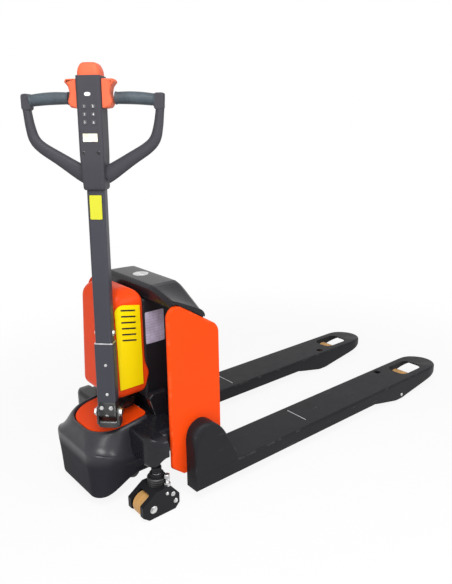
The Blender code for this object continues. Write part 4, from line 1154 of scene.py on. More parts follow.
class TRUCK_OT_front_body(Builder, bpy.types.Operator):
    """Orange front body and its louvred yellow side panel"""

    bl_idname = "truck.front_body"
    bl_label = "Front body"

    def execute(self, context):
        body = shell_of("front_body", [front_body()], self.sizes.cover_wall)
        finished(body, "orange_moulded", "fork_frame", ["front_cover"])
        low, high = cad_box("vent_panel")
        inner, outer = low[0], high[0]
        vent = shell_of("vent_sheet", [self.vent_sheet(low, high)], outer - inner - CAD_GAP)
        slots = [self.louvre(LOUVRE_TOP - LOUVRE_PITCH * row) for row in range(self.sizes.louvres)]
        cutters = [
            mesh_of("louvre", [prism(slot, inner - LOUVRE_CUT, outer + LOUVRE_CUT, "X")], DRAWING)
            for slot in slots
        ]
        finished(baked(vent, cutters), "yellow_sheet", "fork_frame", ["vent_panel"])
        # Dark sheets behind the slots are painted shade, standing for the dark inside of the body
        shade_sheets = [prism(slot, inner + SHADE_SHEET_X[0], inner + SHADE_SHEET_X[1], "X") for slot in slots]
        make("vent_painted_shade", shade_sheets, "tyre_rubber_and_shade", "fork_frame")
        return {"FINISHED"}

    def louvre(self, foot):
        """A slot in (y, z): a rounded rectangle that slopes with the panel's top."""
        height = self.sizes.louvre_height
        slot = rectangle((LOUVRE_Y[0], foot), (LOUVRE_Y[1], foot + height), height * LOUVRE_ROUND, 4)
        return slot + np.stack([0 * slot[:, 0], LOUVRE_TILT * (np.mean(LOUVRE_Y) - slot[:, 0])], -1)

    def vent_sheet(self, low, high):
        """The panel on a (y, z) grid: its top slopes like the slots down to a quarter circle at the rear.

        Its rear bends round the body: at d past the bend x falls by r - sqrt(r^2 - d^2), as the body's own
        corner does.
        """
        corner_y = low[1] + VENT_CORNER
        curve_y = low[1] + VENT_CORNER * (1 - np.cos(np.linspace(0, np.pi / 2, 9)))
        y = np.concatenate([curve_y, np.linspace(corner_y, high[1], 30)[1:]])
        past = np.clip(corner_y - y, 0, VENT_CORNER)
        top = high[2] + LOUVRE_TILT * (high[1] - y) - VENT_CORNER + np.sqrt(VENT_CORNER**2 - past**2)
        z = low[2] + (top - low[2])[:, None] * np.linspace(0, 1, 14)
        y = np.broadcast_to(y[:, None], z.shape)
        beyond = np.clip(BODY_REAR_Y - body_lean(z) + BODY_ROUND - y, 0, BODY_ROUND * 0.99)
        x = high[0] - BODY_ROUND + np.sqrt(BODY_ROUND**2 - beyond**2)
        return sheet(np.stack([x, y, z], -1)[::-1])


# The drive cover's levels from its lower rim to the lip under the inset: height, half width, rear, corner
COVER_LEVELS = (
    (0.0360, 0.1165, -0.7590, 0.036), (0.0430, 0.1192, -0.7610, 0.038), (0.0700, 0.1225, -0.7625, 0.042),
    (0.1000, 0.1270, -0.7642, 0.047), (0.1250, 0.1320, -0.7662, 0.053), (0.1500, 0.1365, -0.7685, 0.058),
    (0.1700, 0.1388, -0.7695, 0.061), (0.1800, 0.1390, -0.7692, 0.062), (0.1850, 0.1380, -0.7672, 0.063),
    (0.1882, 0.1356, -0.7638, 0.066), (0.2000, 0.1292, -0.7565, 0.074), (0.2120, 0.1236, -0.7505, 0.082),
    (0.2220, 0.1190, -0.7450, 0.088), (0.2265, 0.1148, -0.7408, 0.089), (0.2270, 0.1108, -0.7368, 0.087),
    (0.2245, 0.1076, -0.7332, 0.085), (0.2190, 0.1050, -0.7300, 0.083),
)
COVER_FRONT_Y, COVER_SLOPE, COVER_SLOPE_Z, COVER_CORNER_POWER = -0.578, 0.150, (0.19, 0.23), 2.1
CREASE_FALL, CREASE_FALL_Y = 0.034, (-0.775, -0.640)
CREASE_START_Z, CREASE_END_Z = (0.11, 0.18), (0.19, 0.224)
RIM_RISE, RIM_RISE_Y, RIM_RISE_Z = 0.038, (-0.725, -0.615), (0.03, 0.13)
CASTER_ROOM = ((-0.02, 0.093), (0.096, 0.093), (0.1005, 0.089))
INSET_OUTLINE = ((-0.1040, -0.7310), (0.1040, -0.7310), (0.1020, -0.5680), (-0.1020, -0.5680))
INSET_RADII = (0.080, 0.080, 0.014, 0.014)
INSET_LEVEL, INSET_THICK, INSET_DISH, INSET_HOLE = 0.2255, 0.003, 0.0016, 0.0330
INSET_RIM, INSET_RIM_DROPS = 0.06, (0.0024, 0.0010, 0.0003, 0.0, 0.0)
COLLAR_Y, COLLAR_HALF, COLLAR_FOOT, COLLAR_TOP, COLLAR_ROUND = (-0.541, -0.537), 0.1005, 0.2340, 0.2875, 0.010
UPSTAND_X = (0.1003, 0.1225)
UPSTAND_CORNERS = ((-0.549, 0.2340), (-0.506, 0.2340), (-0.506, 0.3130), (-0.556, 0.3130), (-0.571, 0.3010))
UPSTAND_RADII = (0.003, 0.003, 0.010, 0.012, 0.008)
# The upstand's painted highlight, a zinc rod along its edge: how far inside its face it runs, its ends from
# the corners, and its radius
HIGHLIGHT_ROD_INSET, HIGHLIGHT_ROD_FOOT, HIGHLIGHT_ROD_HEAD = 0.0022, (-0.0010, 0.008), (0.0042, -0.006)
HIGHLIGHT_ROD_R = 0.0016


def cover_skin(levels=96):
    """The drive cover's skin on a (u, v) grid.

    v follows a spline through the levels. At each, u runs down the left side, round a superelliptic corner,
    across the rear, round the other corner and up the right side. The top leans with the truck's slope, the
    crease under the shoulder falls along the sides, and the lower rim rises there.
    """
    z, half, rear, corner = spline(COVER_LEVELS, levels).T[..., None]
    angle = np.linspace(0, np.pi / 2, 24)
    cos, sin = np.cos(angle) ** (2 / COVER_CORNER_POWER), np.sin(angle) ** (2 / COVER_CORNER_POWER)
    side = np.linspace(0, 1, 16)[:-1]
    across = np.linspace(-1, 1, 14)[1:-1]
    left_y = COVER_FRONT_Y + side * (rear + corner - COVER_FRONT_Y)
    left = np.stack([-half + 0 * left_y, left_y], -1)
    bend = np.stack([-half + corner * (1 - cos), rear + corner * (1 - sin)], -1)
    middle = np.stack([across * (half - corner), rear + 0 * across], -1)
    plan = np.concatenate([left, bend, middle, (bend * (-1, 1))[:, ::-1], (left * (-1, 1))[:, ::-1]], 1)
    y = plan[..., 1]
    lean = COVER_SLOPE * (y - rear) * ease(z, *COVER_SLOPE_Z)
    rise = RIM_RISE * ease(y, *RIM_RISE_Y) * (1 - ease(z, *RIM_RISE_Z))
    crease = ease(z, *CREASE_START_Z) * (1 - ease(z, *CREASE_END_Z))
    fall = CREASE_FALL * ease(y, *CREASE_FALL_Y) * crease
    return sheet(lifted(plan, z + lean + rise - fall))


class TRUCK_OT_drive_cover(Builder, bpy.types.Operator):
    """Moulded drive cover, the orange inset that the tiller sweeps over, and the collar behind it"""

    bl_idname = "truck.drive_cover"
    bl_label = "Drive cover"

    def execute(self, context):
        places = [joint_place(f"caster_swivel_{label}") for _, label in SIDES]
        cutters = [
            mesh_of("caster_room", [turned(CASTER_ROOM, place, (0, 0, 1), 64)], WORLD) for place in places
        ]
        cover = shell_of("drive_cover_moulding", [cover_skin()], self.sizes.cover_wall, DRAWING, cutters)
        finished(cover, "cover_black", "drive_base", ["drive_cover"])
        self.inset()
        self.collar()
        return {"FINISHED"}

    def collar(self):
        """The wall behind the inset, and the upstands at its ends, each with a zinc rod along its edge as a
        painted highlight.
        """
        outline = rectangle((-COLLAR_HALF, COLLAR_FOOT), (COLLAR_HALF, COLLAR_TOP), COLLAR_ROUND)
        wall = prism(outline, *COLLAR_Y, "Y", low_edge=0.0015, high_edge=0.0005)
        outline = rounded(UPSTAND_CORNERS, UPSTAND_RADII)
        upstand = prism(outline, *UPSTAND_X, "X", low_edge=0.002, high_edge=0.005)
        shells = [wall, *on_both_sides([upstand])]
        make("cover_collar", shells, "black_moulded", "drive_base")
        # A zinc rod along each upstand's edge is a painted highlight
        x = UPSTAND_X[1] - HIGHLIGHT_ROD_INSET
        foot = (x, *np.add(UPSTAND_CORNERS[0], HIGHLIGHT_ROD_FOOT))
        head = (x, *np.add(UPSTAND_CORNERS[-1], HIGHLIGHT_ROD_HEAD))
        strip = sweep(np.linspace(foot, head, 8), oval(HIGHLIGHT_ROD_R, HIGHLIGHT_ROD_R, 2.0, 12))
        make("collar_painted_highlights", on_both_sides([strip]), "zinc_plate_and_highlight", "drive_base")

    def inset(self):
        """The orange inset: its outline shrunk towards the column in rings, dished, on the cover's slope."""
        outline = rounded(INSET_OUTLINE, INSET_RADII, 12)
        centre = np.array((0, -DATUM_AHEAD))
        hole = centre + INSET_HOLE * unit(outline - centre)
        rim, dish = np.linspace(0, INSET_RIM, 4)[1:], np.linspace(INSET_RIM, 1, 12)[1:]
        share = np.concatenate([[0, 0], rim, dish])[:, None, None]
        plan = outline + (hole - outline) * share
        sag = INSET_DISH * np.sin(np.linspace(0, np.pi, 12))[1:]
        height = -np.concatenate([INSET_RIM_DROPS, sag])[:, None]
        level = INSET_LEVEL + COVER_SLOPE * (plan[..., 1] - INSET_OUTLINE[0][1]) + height
        top = lifted(plan, level)
        shell = closed_loft(np.concatenate([top, top[::-1] - (0, 0, INSET_THICK)]))
        make("inset_panel", [shell], "orange_powder", "drive_base", ["cover_inset"])


WING_INNER, WING_OUTER, WING_ROUND, WING_TUCK = 0.1035, 0.2415, 0.054, 0.022
WING_TOP, WING_FOOT, WING_SECTION_ROUND = 0.2340, 0.1405, 0.34
WING_Y = (-0.6445, -0.5855)
# The foot arches up beyond the stem, and lifts towards the front
WING_ARCH, WING_ARCH_SPAN, WING_ARCH_START = 0.014, (0.021, 0.046), (0.125, 0.16)
WING_LIFT, WING_LIFT_Y, WING_LIFT_HEIGHT = 0.028, (-0.628, -0.600), 0.04
FAIRING_CORNERS = ((0.1035, 0.172), (0.2120, 0.172), (0.2120, 0.2330), (0.1500, 0.2360), (0.1035, 0.2420))
FAIRING_RADII = (0.006, 0.010, 0.022, 0.030, 0.006)
FAIRING_Y = (-0.600, -0.512)
# Room cut out of the CAD's base for the wings and for the inset
WING_ROOM, WING_ROOM_X = rectangle((-0.660, 0.120), (-0.570, 0.212), 0.002), (0.1250, 0.2600)
INSET_ROOM = ((-0.700, 0.2247), (-0.620, 0.2367), (-0.620, 0.2600), (-0.700, 0.2600))
INSET_ROOM_X = (-0.125, 0.125)


def wing_body():
    """A caster wing: rounded sections carried outwards, whose foot arches up beside the stem.

    The rear of the section follows a quarter circle in plan towards the outer end.
    """
    x = WING_INNER + (WING_OUTER - WING_INNER) * np.sin(np.linspace(0, 1, 61) * np.pi / 2)
    stem = joint_place("caster_swivel_right")[0]
    arch = WING_ARCH * ease(np.abs(x - stem), *WING_ARCH_SPAN) * ease(x, *WING_ARCH_START)
    past = np.clip(x - WING_OUTER + WING_ROUND, 0, WING_ROUND)
    bend = WING_ROUND - np.sqrt(WING_ROUND**2 - past**2)
    tuck = WING_TUCK * (1 - np.sqrt(1 - (past / WING_ROUND) ** 3))
    across, upwards = centred((1, 1), WING_SECTION_ROUND, 9).T
    y = spanned(WING_Y[0] + bend, np.full(len(x), WING_Y[1]), across)
    z = spanned(WING_FOOT + arch, WING_TOP - tuck, upwards)
    z = z + WING_LIFT * ease(y, *WING_LIFT_Y) * (1 - ease(z, WING_FOOT, WING_FOOT + WING_LIFT_HEIGHT))
    return loft(np.stack([np.broadcast_to(x[:, None], y.shape), y, z], -1))


class TRUCK_OT_base(Builder, bpy.types.Operator):
    """Bearing plate of the base with its posts, and the wings that carry the casters"""

    bl_idname = "truck.base"
    bl_label = "Base"

    def execute(self, context):
        rooms = on_both_sides([prism(WING_ROOM, *WING_ROOM_X, "X")])
        rooms.append(prism(INSET_ROOM, *INSET_ROOM_X, "X"))
        cutters = [mesh_of("base_room", [room], DRAWING) for room in rooms]
        softened("base_frame", "fork_black", edge=0.002, cutters=cutters)
        wing = [wing_body(), self.fairing()]
        make_pair("caster_wing", wing, "black_moulded", "drive_base")
        softened("slew_ring", "zinc_plate_and_highlight", edge=0.0015)
        return {"FINISHED"}

    def fairing(self):
        """The moulding ahead of a wing: one section carried forwards, whose inner top climbs to the post."""
        outline = rounded(FAIRING_CORNERS, FAIRING_RADII, 8)
        return prism(outline, *FAIRING_Y, "Y", low_edge=0.004, high_edge=0.008)


ROLLER_SIDES = 64
HUB_RIM, HUB_FLOOR, HUB_RECESS = 0.62, 0.60, 0.003
# A caster's stem collar: its foot above the floor, then its rings, the grooves above them and its top, from
# that foot
STEM_COLLAR_FOOT, STEM_COLLAR_TOP, STEM_COLLAR_EDGE = 0.0855, 0.0240, 0.0225
STEM_BORE, STEM_RING, STEM_GROOVE = 0.018, 0.0280, 0.0262
STEM_RINGS, STEM_RING_PITCH, STEM_GROOVE_STEPS = 3, 0.0066, (0.0044, 0.0049, 0.0061, 0.0066)
STEM_CAP_Z, STEM_CAP_R, STEM_CAP_HEIGHT, STEM_CAP_EDGE = 0.1095, 0.0165, 0.010, 0.003
STEM_BOLT_Z, STEM_BOLT_ACROSS, STEM_BOLT_HEIGHT = 0.1190, 0.021, 0.014
# Bolts on the housing's cheeks: y, z and size across flats
CHEEK_X, CHEEK_BOLT_HEIGHT = 0.0398, 0.004
CHEEK_BOLTS = ((0.028, 0.056, 0.010), (0.036, 0.030, 0.010), (0.008, 0.066, 0.007))
CASTER_AXLE_ACROSS, CASTER_AXLE_HEIGHT = 0.016, 0.0055
CASTER_HALF, CASTER_EDGE, CASTER_BORE = 0.021, 0.006, 0.0065
# The adjuster's thread as shares of its radius and height, its nut and its knob
THREAD_POINTS, THREAD_LENGTH, THREAD_ROOT, THREAD_CREST = 23, 0.80, 1.10, 0.14
ADJUSTER_NUT = ((0, 0.0105), (0.007, 0.0105), (0.008, 0.0092))
KNOB_START, KNOB_LENGTH, KNOB_R, KNOB_EDGE = 0.66, 0.34, 0.0088, 0.0025


def roller(half, radius, edge, bore):
    """A crowned tread about the X axis: flat walls, round shoulders and a recessed hub down to its bore."""
    angle = np.linspace(0, np.pi / 2, 7)
    shoulder = np.stack([half - edge + edge * np.sin(angle), radius - edge + edge * np.cos(angle)], -1)
    floor = half - HUB_RECESS
    right = np.concatenate([shoulder, [(half, radius * HUB_RIM), (floor, radius * HUB_FLOOR), (floor, bore)]])
    profile = np.concatenate([right[::-1] * (-1, 1), [(0, radius)], right])
    return closed_loft(spun(profile, (0, 0, 0), (1, 0, 0), ROLLER_SIDES))


class TRUCK_OT_casters(Builder, bpy.types.Operator):
    """Stabiliser casters: housing, stem collar, adjuster, bolts and tread"""

    bl_idname = "truck.casters"
    bl_label = "Casters"

    def execute(self, context):
        for _, label in SIDES:
            body = f"caster_{label}"
            softened(f"caster_housing_{label}", "fork_black", edge=0.0035, segments=3)
            swivel, roll = joint_place(f"caster_swivel_{label}"), joint_place(f"caster_roll_{label}")
            here, axle = shift(*swivel), roll - swivel
            collar = [self.stem_collar()]
            make(f"caster_collar_{label}", collar, "dark_steel", body, matrix=here)
            make(f"caster_bolts_{label}", self.bolts(axle), "zinc_plate_and_highlight", body, matrix=here)
            bolt = f"adjuster_bolt_{label}"
            adjuster = self.adjuster(*cad_box(bolt, here))
            make(f"adjuster_{label}", adjuster, "zinc_plate_and_highlight", body, [bolt], here)
            tread = roller(CASTER_HALF, axle[2], CASTER_EDGE, CASTER_BORE)
            wheel = f"caster_wheel_{label}"
            make(
                f"caster_tread_{label}", [tread], "tan_polyurethane", wheel, [wheel],
                here @ shift(*axle),
            )
        return {"FINISHED"}

    def stem_collar(self):
        """The collar round the stem: a turned profile of rings with a groove above each."""
        rings = [(0, STEM_BORE), (0, STEM_RING)]
        radii = (STEM_RING, STEM_GROOVE, STEM_GROOVE, STEM_RING)
        for step in range(STEM_RINGS):
            foot = STEM_RING_PITCH * step
            rings += [(foot + rise, radius) for rise, radius in zip(STEM_GROOVE_STEPS, radii)]
        rings += [(STEM_COLLAR_EDGE, STEM_RING), (STEM_COLLAR_TOP, STEM_GROOVE), (STEM_COLLAR_TOP, STEM_BORE)]
        return turned(rings, (0, 0, STEM_COLLAR_FOOT), (0, 0, 1), 56)

    def bolts(self, axle):
        """The stem's cap and bolt, the bolts on the cheeks and those of the axle."""
        up = (0, 0, 1)
        shells = [disc((0, 0, STEM_CAP_Z), up, STEM_CAP_R, STEM_CAP_HEIGHT, STEM_CAP_EDGE)]
        shells += hex_bolt((0, 0, STEM_BOLT_Z), up, STEM_BOLT_ACROSS, STEM_BOLT_HEIGHT)
        for y, z, across in CHEEK_BOLTS:
            shells += side_bolts(CHEEK_X, y, z, across, CHEEK_BOLT_HEIGHT)
        return shells + side_bolts(CHEEK_X, axle[1], axle[2], CASTER_AXLE_ACROSS, CASTER_AXLE_HEIGHT)

    def adjuster(self, low, high):
        """The adjuster's stud, nut and knob: the stud's radius is a triangle wave of the thread's pitch."""
        middle, height, radius = (low + high)[:2] / 2, high[2] - low[2], (high[0] - low[0]) / 2
        foot, up = (*middle, low[2]), (0, 0, 1)
        rise = np.linspace(0, height * THREAD_LENGTH, THREAD_POINTS)
        thread = radius * (THREAD_ROOT + THREAD_CREST * (np.arange(THREAD_POINTS) % 2))
        stud = turned(np.stack([rise, thread], -1), foot, up, 20)
        knob_foot = (*middle, low[2] + height * KNOB_START)
        knob = disc(knob_foot, up, KNOB_R, height * KNOB_LENGTH, KNOB_EDGE, 6)
        return [stud, turned(ADJUSTER_NUT, foot, up, 6), knob]


LOAD_ROLLER_EDGE, LOAD_ROLLER_BORE = 0.005, 0.0085


class TRUCK_OT_load_wheels(Builder, bpy.types.Operator):
    """Load rollers in the fork tips, and the linkage that swings them down"""

    bl_idname = "truck.load_wheels"
    bl_label = "Load wheels"

    def execute(self, context):
        softened("rocker_shaft", "dark_steel", edge=0.0012)
        for _, label in SIDES:
            softened(f"wheel_arm_{label}", "fork_black", edge=0.0025)
            softened(f"arm_pin_{label}", "zinc_plate_and_highlight", edge=0.001)
            softened(f"push_rod_{label}", "dark_steel", edge=0.001)
            wheel, place = f"load_roller_{label}", joint_place(f"load_roll_{label}")
            low, high = cad_box(wheel)
            here = shift(*place)
            tread = roller((high[0] - low[0]) / 2, place[2], LOAD_ROLLER_EDGE, LOAD_ROLLER_BORE)
            make(f"load_tread_{label}", [tread], "tan_polyurethane", wheel, [wheel], here)
        return {"FINISHED"}


# The steering arm's right half in plan, from the fork end to the boss, and its ears seen from the side
ARM_PLAN = (
    (0.0318, -0.1885), (0.0318, -0.1500), (0.0150, -0.1180), (0.0150, -0.0560), (0.0350, -0.0200),
    (0.0350, 0.0200), (0.0160, 0.0355),
)
ARM_RADII = (0.014, 0.012, 0.018, 0.020, 0.014, 0.014, 0.010)
ARM_Z, COLUMN_R, COLUMN_LAP = (0.2643, 0.2838), 0.030, 0.002
EAR_X, EAR_RADII = (0.0258, 0.0322), (0.003, 0.003, 0.015, 0.015)
EAR_CORNERS = ((-0.1885, 0.2740), (-0.1584, 0.2740), (-0.1584, 0.3255), (-0.1885, 0.3255))
# Bolts of the arm by place, size across flats and height: the neck's two and the column's one
ARM_BOLTS = ((-0.018, -0.128, 0.012, 0.006), (0.018, -0.128, 0.012, 0.006), (0, 0, 0.030, 0.009))
PIVOT_BOLT_X, PIVOT_BOLT_ACROSS, PIVOT_BOLT_HEIGHT = 0.0320, 0.019, 0.008
TYRE_HALF, TYRE_EDGE, TYRE_BORE = 0.035, 0.012, 0.0605


class TRUCK_OT_steering(Builder, bpy.types.Operator):
    """Steering arm with the tiller's pivot bolts, and the drive under the cover"""

    bl_idname = "truck.steering"
    bl_label = "Steering and drive"

    def execute(self, context):
        self.arm()
        softened("tiller_pin", "zinc_plate_and_highlight", edge=0.001)
        pivot = (PIVOT_BOLT_X, -PIVOT_RADIUS, TILLER_PLACE[2])
        bolts = side_bolts(*pivot, PIVOT_BOLT_ACROSS, PIVOT_BOLT_HEIGHT)
        for x, y, across, height in ARM_BOLTS:
            bolts += hex_bolt((x, y, ARM_Z[1]), (0, 0, 1), across, height)
        make("pivot_bolts", bolts, "zinc_plate_and_highlight", "steer_unit", matrix=STEERED)
        softened("drive_yoke", "dark_steel", edge=0.003)
        softened("traction_motor", "dark_steel", edge=0.002)
        softened("drive_hub", "dark_steel", edge=0.002)
        self.tyre()
        return {"FINISHED"}

    def arm(self):
        """The cast arm: a plate that narrows to a neck between its boss and fork end, its ears and column."""
        half_plan = np.array(ARM_PLAN)
        plan = np.concatenate([half_plan, half_plan[::-1] * (-1, 1)])
        outline = rounded(plan, np.concatenate([ARM_RADII, ARM_RADII[::-1]]), 8)
        plate = prism(outline, *ARM_Z, "Z", low_edge=0.003, high_edge=0.005)
        ear = prism(rounded(EAR_CORNERS, EAR_RADII, 10), *EAR_X, "X", low_edge=0.0008, high_edge=0.0022)
        foot = cad_box("steer_arm")[0][2]
        height = ARM_Z[0] + COLUMN_LAP - foot
        column = turned([(0, COLUMN_R), (height, COLUMN_R)], (0, 0, foot), (0, 0, 1), 48)
        shells = [plate, column, *on_both_sides([ear])]
        make("steering_arm", shells, "dark_steel", "steer_unit", ["steer_arm"], STEERED)

    def tyre(self):
        """The drive tyre: a round-shouldered band on its hub."""
        place = joint_place("drive_spin")
        band = roller(TYRE_HALF, place[2], TYRE_EDGE, TYRE_BORE)
        here = shift(*place) @ turn(STEER_REST, "Z")
        make("drive_band", [band], "tyre_rubber_and_shade", "drive_wheel", ["drive_tyre"], here)


SLEEVE_HALF, SLEEVE_DEPTH, SLEEVE_TOP = 0.0264, 0.0206, 0.205
POLE_HALF, POLE_DEPTH, POLE_TOP, TUBE_ROUND = 0.0230, 0.0186, 0.617, 0.007
RING_INSET, RING_Z = 0.0004, (SLEEVE_TOP - 0.0005, SLEEVE_TOP + 0.0022)
KNUCKLE_TOP, KNUCKLE_X = 0.034, (-0.0250, 0.0250)
KNUCKLE_CORNERS = (
    (-0.0215, 0.036), (-0.0205, -0.003), (-0.010, -0.0145), (0.010, -0.0145), (0.0205, -0.003),
    (0.0215, 0.036),
)
KNUCKLE_RADII = (0.002, 0.010, 0.011, 0.011, 0.010, 0.002)
# Bolts of the knuckle: place, direction, size across flats and height
KNUCKLE_BOLTS = (
    ((-0.013, -0.0200, 0.020), (0, -1, 0), 0.011, 0.004),
    ((0.013, -0.0200, 0.020), (0, -1, 0), 0.011, 0.004),
    ((0, -0.0150, -0.003), (0, -0.8, -0.6), 0.010, 0.0045),
)
SLEEVE_SCREWS, SLEEVE_SCREW_R = ((0.004, 0.145), (0.004, 0.060)), 0.0042
SLEEVE_SCREW_SUNK, SLEEVE_SCREW_HEIGHT, SLEEVE_SCREW_EDGE = 0.0004, 0.0022, 0.0012
COLLAR_BOLT_Y, COLLAR_BOLT_Z, COLLAR_BOLT_ACROSS, COLLAR_BOLT_HEIGHT = 0.004, 0.231, 0.013, 0.005
DECAL_Z, DECAL_HALF, DECAL_BORDER, DECAL_ROUND, DECAL_SUNK = (0.541, 0.6055), 0.0172, 0.0014, 0.002, 0.0005


class TRUCK_OT_tiller_pole(Builder, bpy.types.Operator):
    """Sleeve and pole of the tiller, with the sleeve's clamp ring and a blank yellow decal"""

    bl_idname = "truck.tiller_pole"
    bl_label = "Tiller pole"

    def execute(self, context):
        sleeve = centred((SLEEVE_HALF, SLEEVE_DEPTH), TUBE_ROUND, 8)
        body = prism(sleeve, KNUCKLE_TOP, SLEEVE_TOP, "Z", low_edge=0.004, high_edge=0.002)
        on_tiller("sleeve_tube", [body], "pole_grey", ["tiller_sleeve"])
        outline = rounded(KNUCKLE_CORNERS, KNUCKLE_RADII, 8)
        knuckle = prism(outline, *KNUCKLE_X, "X", low_edge=0.004, high_edge=0.004)
        on_tiller("sleeve_knuckle", [knuckle], "dark_steel")
        bolts = [shell for bolt in KNUCKLE_BOLTS for shell in hex_bolt(*bolt)]
        on_tiller("knuckle_bolts", bolts, "zinc_plate_and_highlight")
        half = (SLEEVE_HALF - RING_INSET, SLEEVE_DEPTH - RING_INSET)
        ring = prism(centred(half, TUBE_ROUND - RING_INSET, 8), *RING_Z, "Z", high_edge=0.0012)
        on_tiller("sleeve_ring", [ring], "zinc_plate_and_highlight")
        pole = centred((POLE_HALF, POLE_DEPTH), TUBE_ROUND, 8)
        foot, top = SLEEVE_TOP + CAD_GAP, POLE_TOP - CAD_GAP
        body = prism(pole, foot, top, "Z", low_edge=0.001, high_edge=0.001)
        on_tiller("pole_tube", [body], "pole_grey", ["tiller_pole"])
        self.decal()
        self.screws()
        return {"FINISHED"}

    def decal(self):
        """A plain yellow decal inside a thin black border, on the operator's face."""
        for name, border, proud, finish, slot in (
            ("pole_decal_border", 0.0, 0.0002, "black_box", "black_plastic"),
            ("pole_decal", DECAL_BORDER, 0.0004, "lemon_film", "yellow_paint"),
        ):
            half, (foot, top) = DECAL_HALF - border, DECAL_Z
            outline = rectangle((-half, foot + border), (half, top - border), DECAL_ROUND, 4)
            film = prism(outline, -POLE_DEPTH - proud, -POLE_DEPTH + DECAL_SUNK, "Y", low_edge=0.0001)
            on_tiller(name, [film], finish)

    def screws(self):
        """Two round screws on the sleeve's face, and the clamp's bolts on the pole's sides."""
        shells = [
            disc(
                (x, -SLEEVE_DEPTH + SLEEVE_SCREW_SUNK, z), (0, -1, 0), SLEEVE_SCREW_R, SLEEVE_SCREW_HEIGHT,
                SLEEVE_SCREW_EDGE, 20,
            )
            for x, z in SLEEVE_SCREWS
        ]
        clamp = (POLE_HALF - SLEEVE_SCREW_SUNK, COLLAR_BOLT_Y, COLLAR_BOLT_Z)
        shells += side_bolts(*clamp, COLLAR_BOLT_ACROSS, COLLAR_BOLT_HEIGHT)
        on_tiller("sleeve_screws", shells, "zinc_plate_and_highlight")


HEAD_HALF, HEAD_REAR, HEAD_FRONT, HEAD_TOP = 0.031, -0.035, 0.028, 0.893
HEAD_WALL, HEAD_POCKET, HEAD_SECTION_ROUND = 0.0013, 0.013, 0.24
# The head narrows towards its foot: by how much, and between which heights, across and at the rear
HEAD_NARROW, HEAD_NARROW_Z, HEAD_TAPER, HEAD_TAPER_Z = 0.0028, (0.63, 0.72), 0.006, (0.62, 0.70)
# The rings that round its foot, those of its plain length, and those over its rim into the pocket
HEAD_FOOT_RISES, HEAD_FOOT_INSETS = (0, 0.002, 0.006), (0.004, 0.0015, 0.0004)
HEAD_PLAIN_RINGS, HEAD_PLAIN_RISE, HEAD_PLAIN_DROP = 26, 0.015, 0.012
HEAD_RIM_DROPS, HEAD_RIM_INSETS = (0.004, 0.001, 0, 0, HEAD_POCKET), (0, 0.0001, 0.0006, HEAD_WALL, HEAD_WALL)
KEYS, KEY_PITCH_X, KEY_PITCH_Z, KEY_TOP_Z, KEY_HALF, KEY_ROUND = 6, 0.022, 0.019, 0.8205, 0.0055, 0.0022
KEY_PROUD, KEY_SUNK = 0.0016, 0.0012
DIGIT_SIZE, DIGIT_DEPTH, DIGIT_PROUD = 0.0085, 0.00015, 0.0001
LAMP_PLACE, LAMP_HALF, LAMP_POWER, LAMP_Y = (-0.0015, 0.849), (0.0080, 0.0048), 2.4, (-0.0016, 0.002)
LABEL_Z, LABEL_HALF, LABEL_ROUND, LABEL_Y = (0.7365, 0.7560), 0.0185, 0.0015, (-0.0004, 0.001)
SCREW_Z, SCREW_X, SCREW_SUNK = 0.710, 0.0190, 0.0004
SCREW_PROFILE = (
    (0, 0.0046), (0.0012, 0.0044), (0.0018, 0.0034), (0.0018, 0.0022), (0.0004, 0.0018), (0.0004, 0.0),
)


def head_body():
    """The control head: rounded rectangles up the pole, narrower at the foot, with a pocket in its top."""
    low = POLE_TOP + CAD_GAP
    z = np.concatenate([
        low + np.array(HEAD_FOOT_RISES),
        np.linspace(low + HEAD_PLAIN_RISE, HEAD_TOP - HEAD_PLAIN_DROP, HEAD_PLAIN_RINGS),
        HEAD_TOP - np.array(HEAD_RIM_DROPS),
    ])
    inset = np.concatenate([HEAD_FOOT_INSETS, np.zeros(HEAD_PLAIN_RINGS), HEAD_RIM_INSETS])
    half = HEAD_HALF - HEAD_NARROW * (1 - ease(z, *HEAD_NARROW_Z)) - inset
    rear = HEAD_REAR + HEAD_TAPER * (1 - ease(z, *HEAD_TAPER_Z)) + inset
    across, along = centred((1, 1), HEAD_SECTION_ROUND, 8).T
    plan = np.stack([across * half[:, None], spanned(rear, HEAD_FRONT - inset, along)], -1)
    return loft(lifted(plan, z[:, None]))


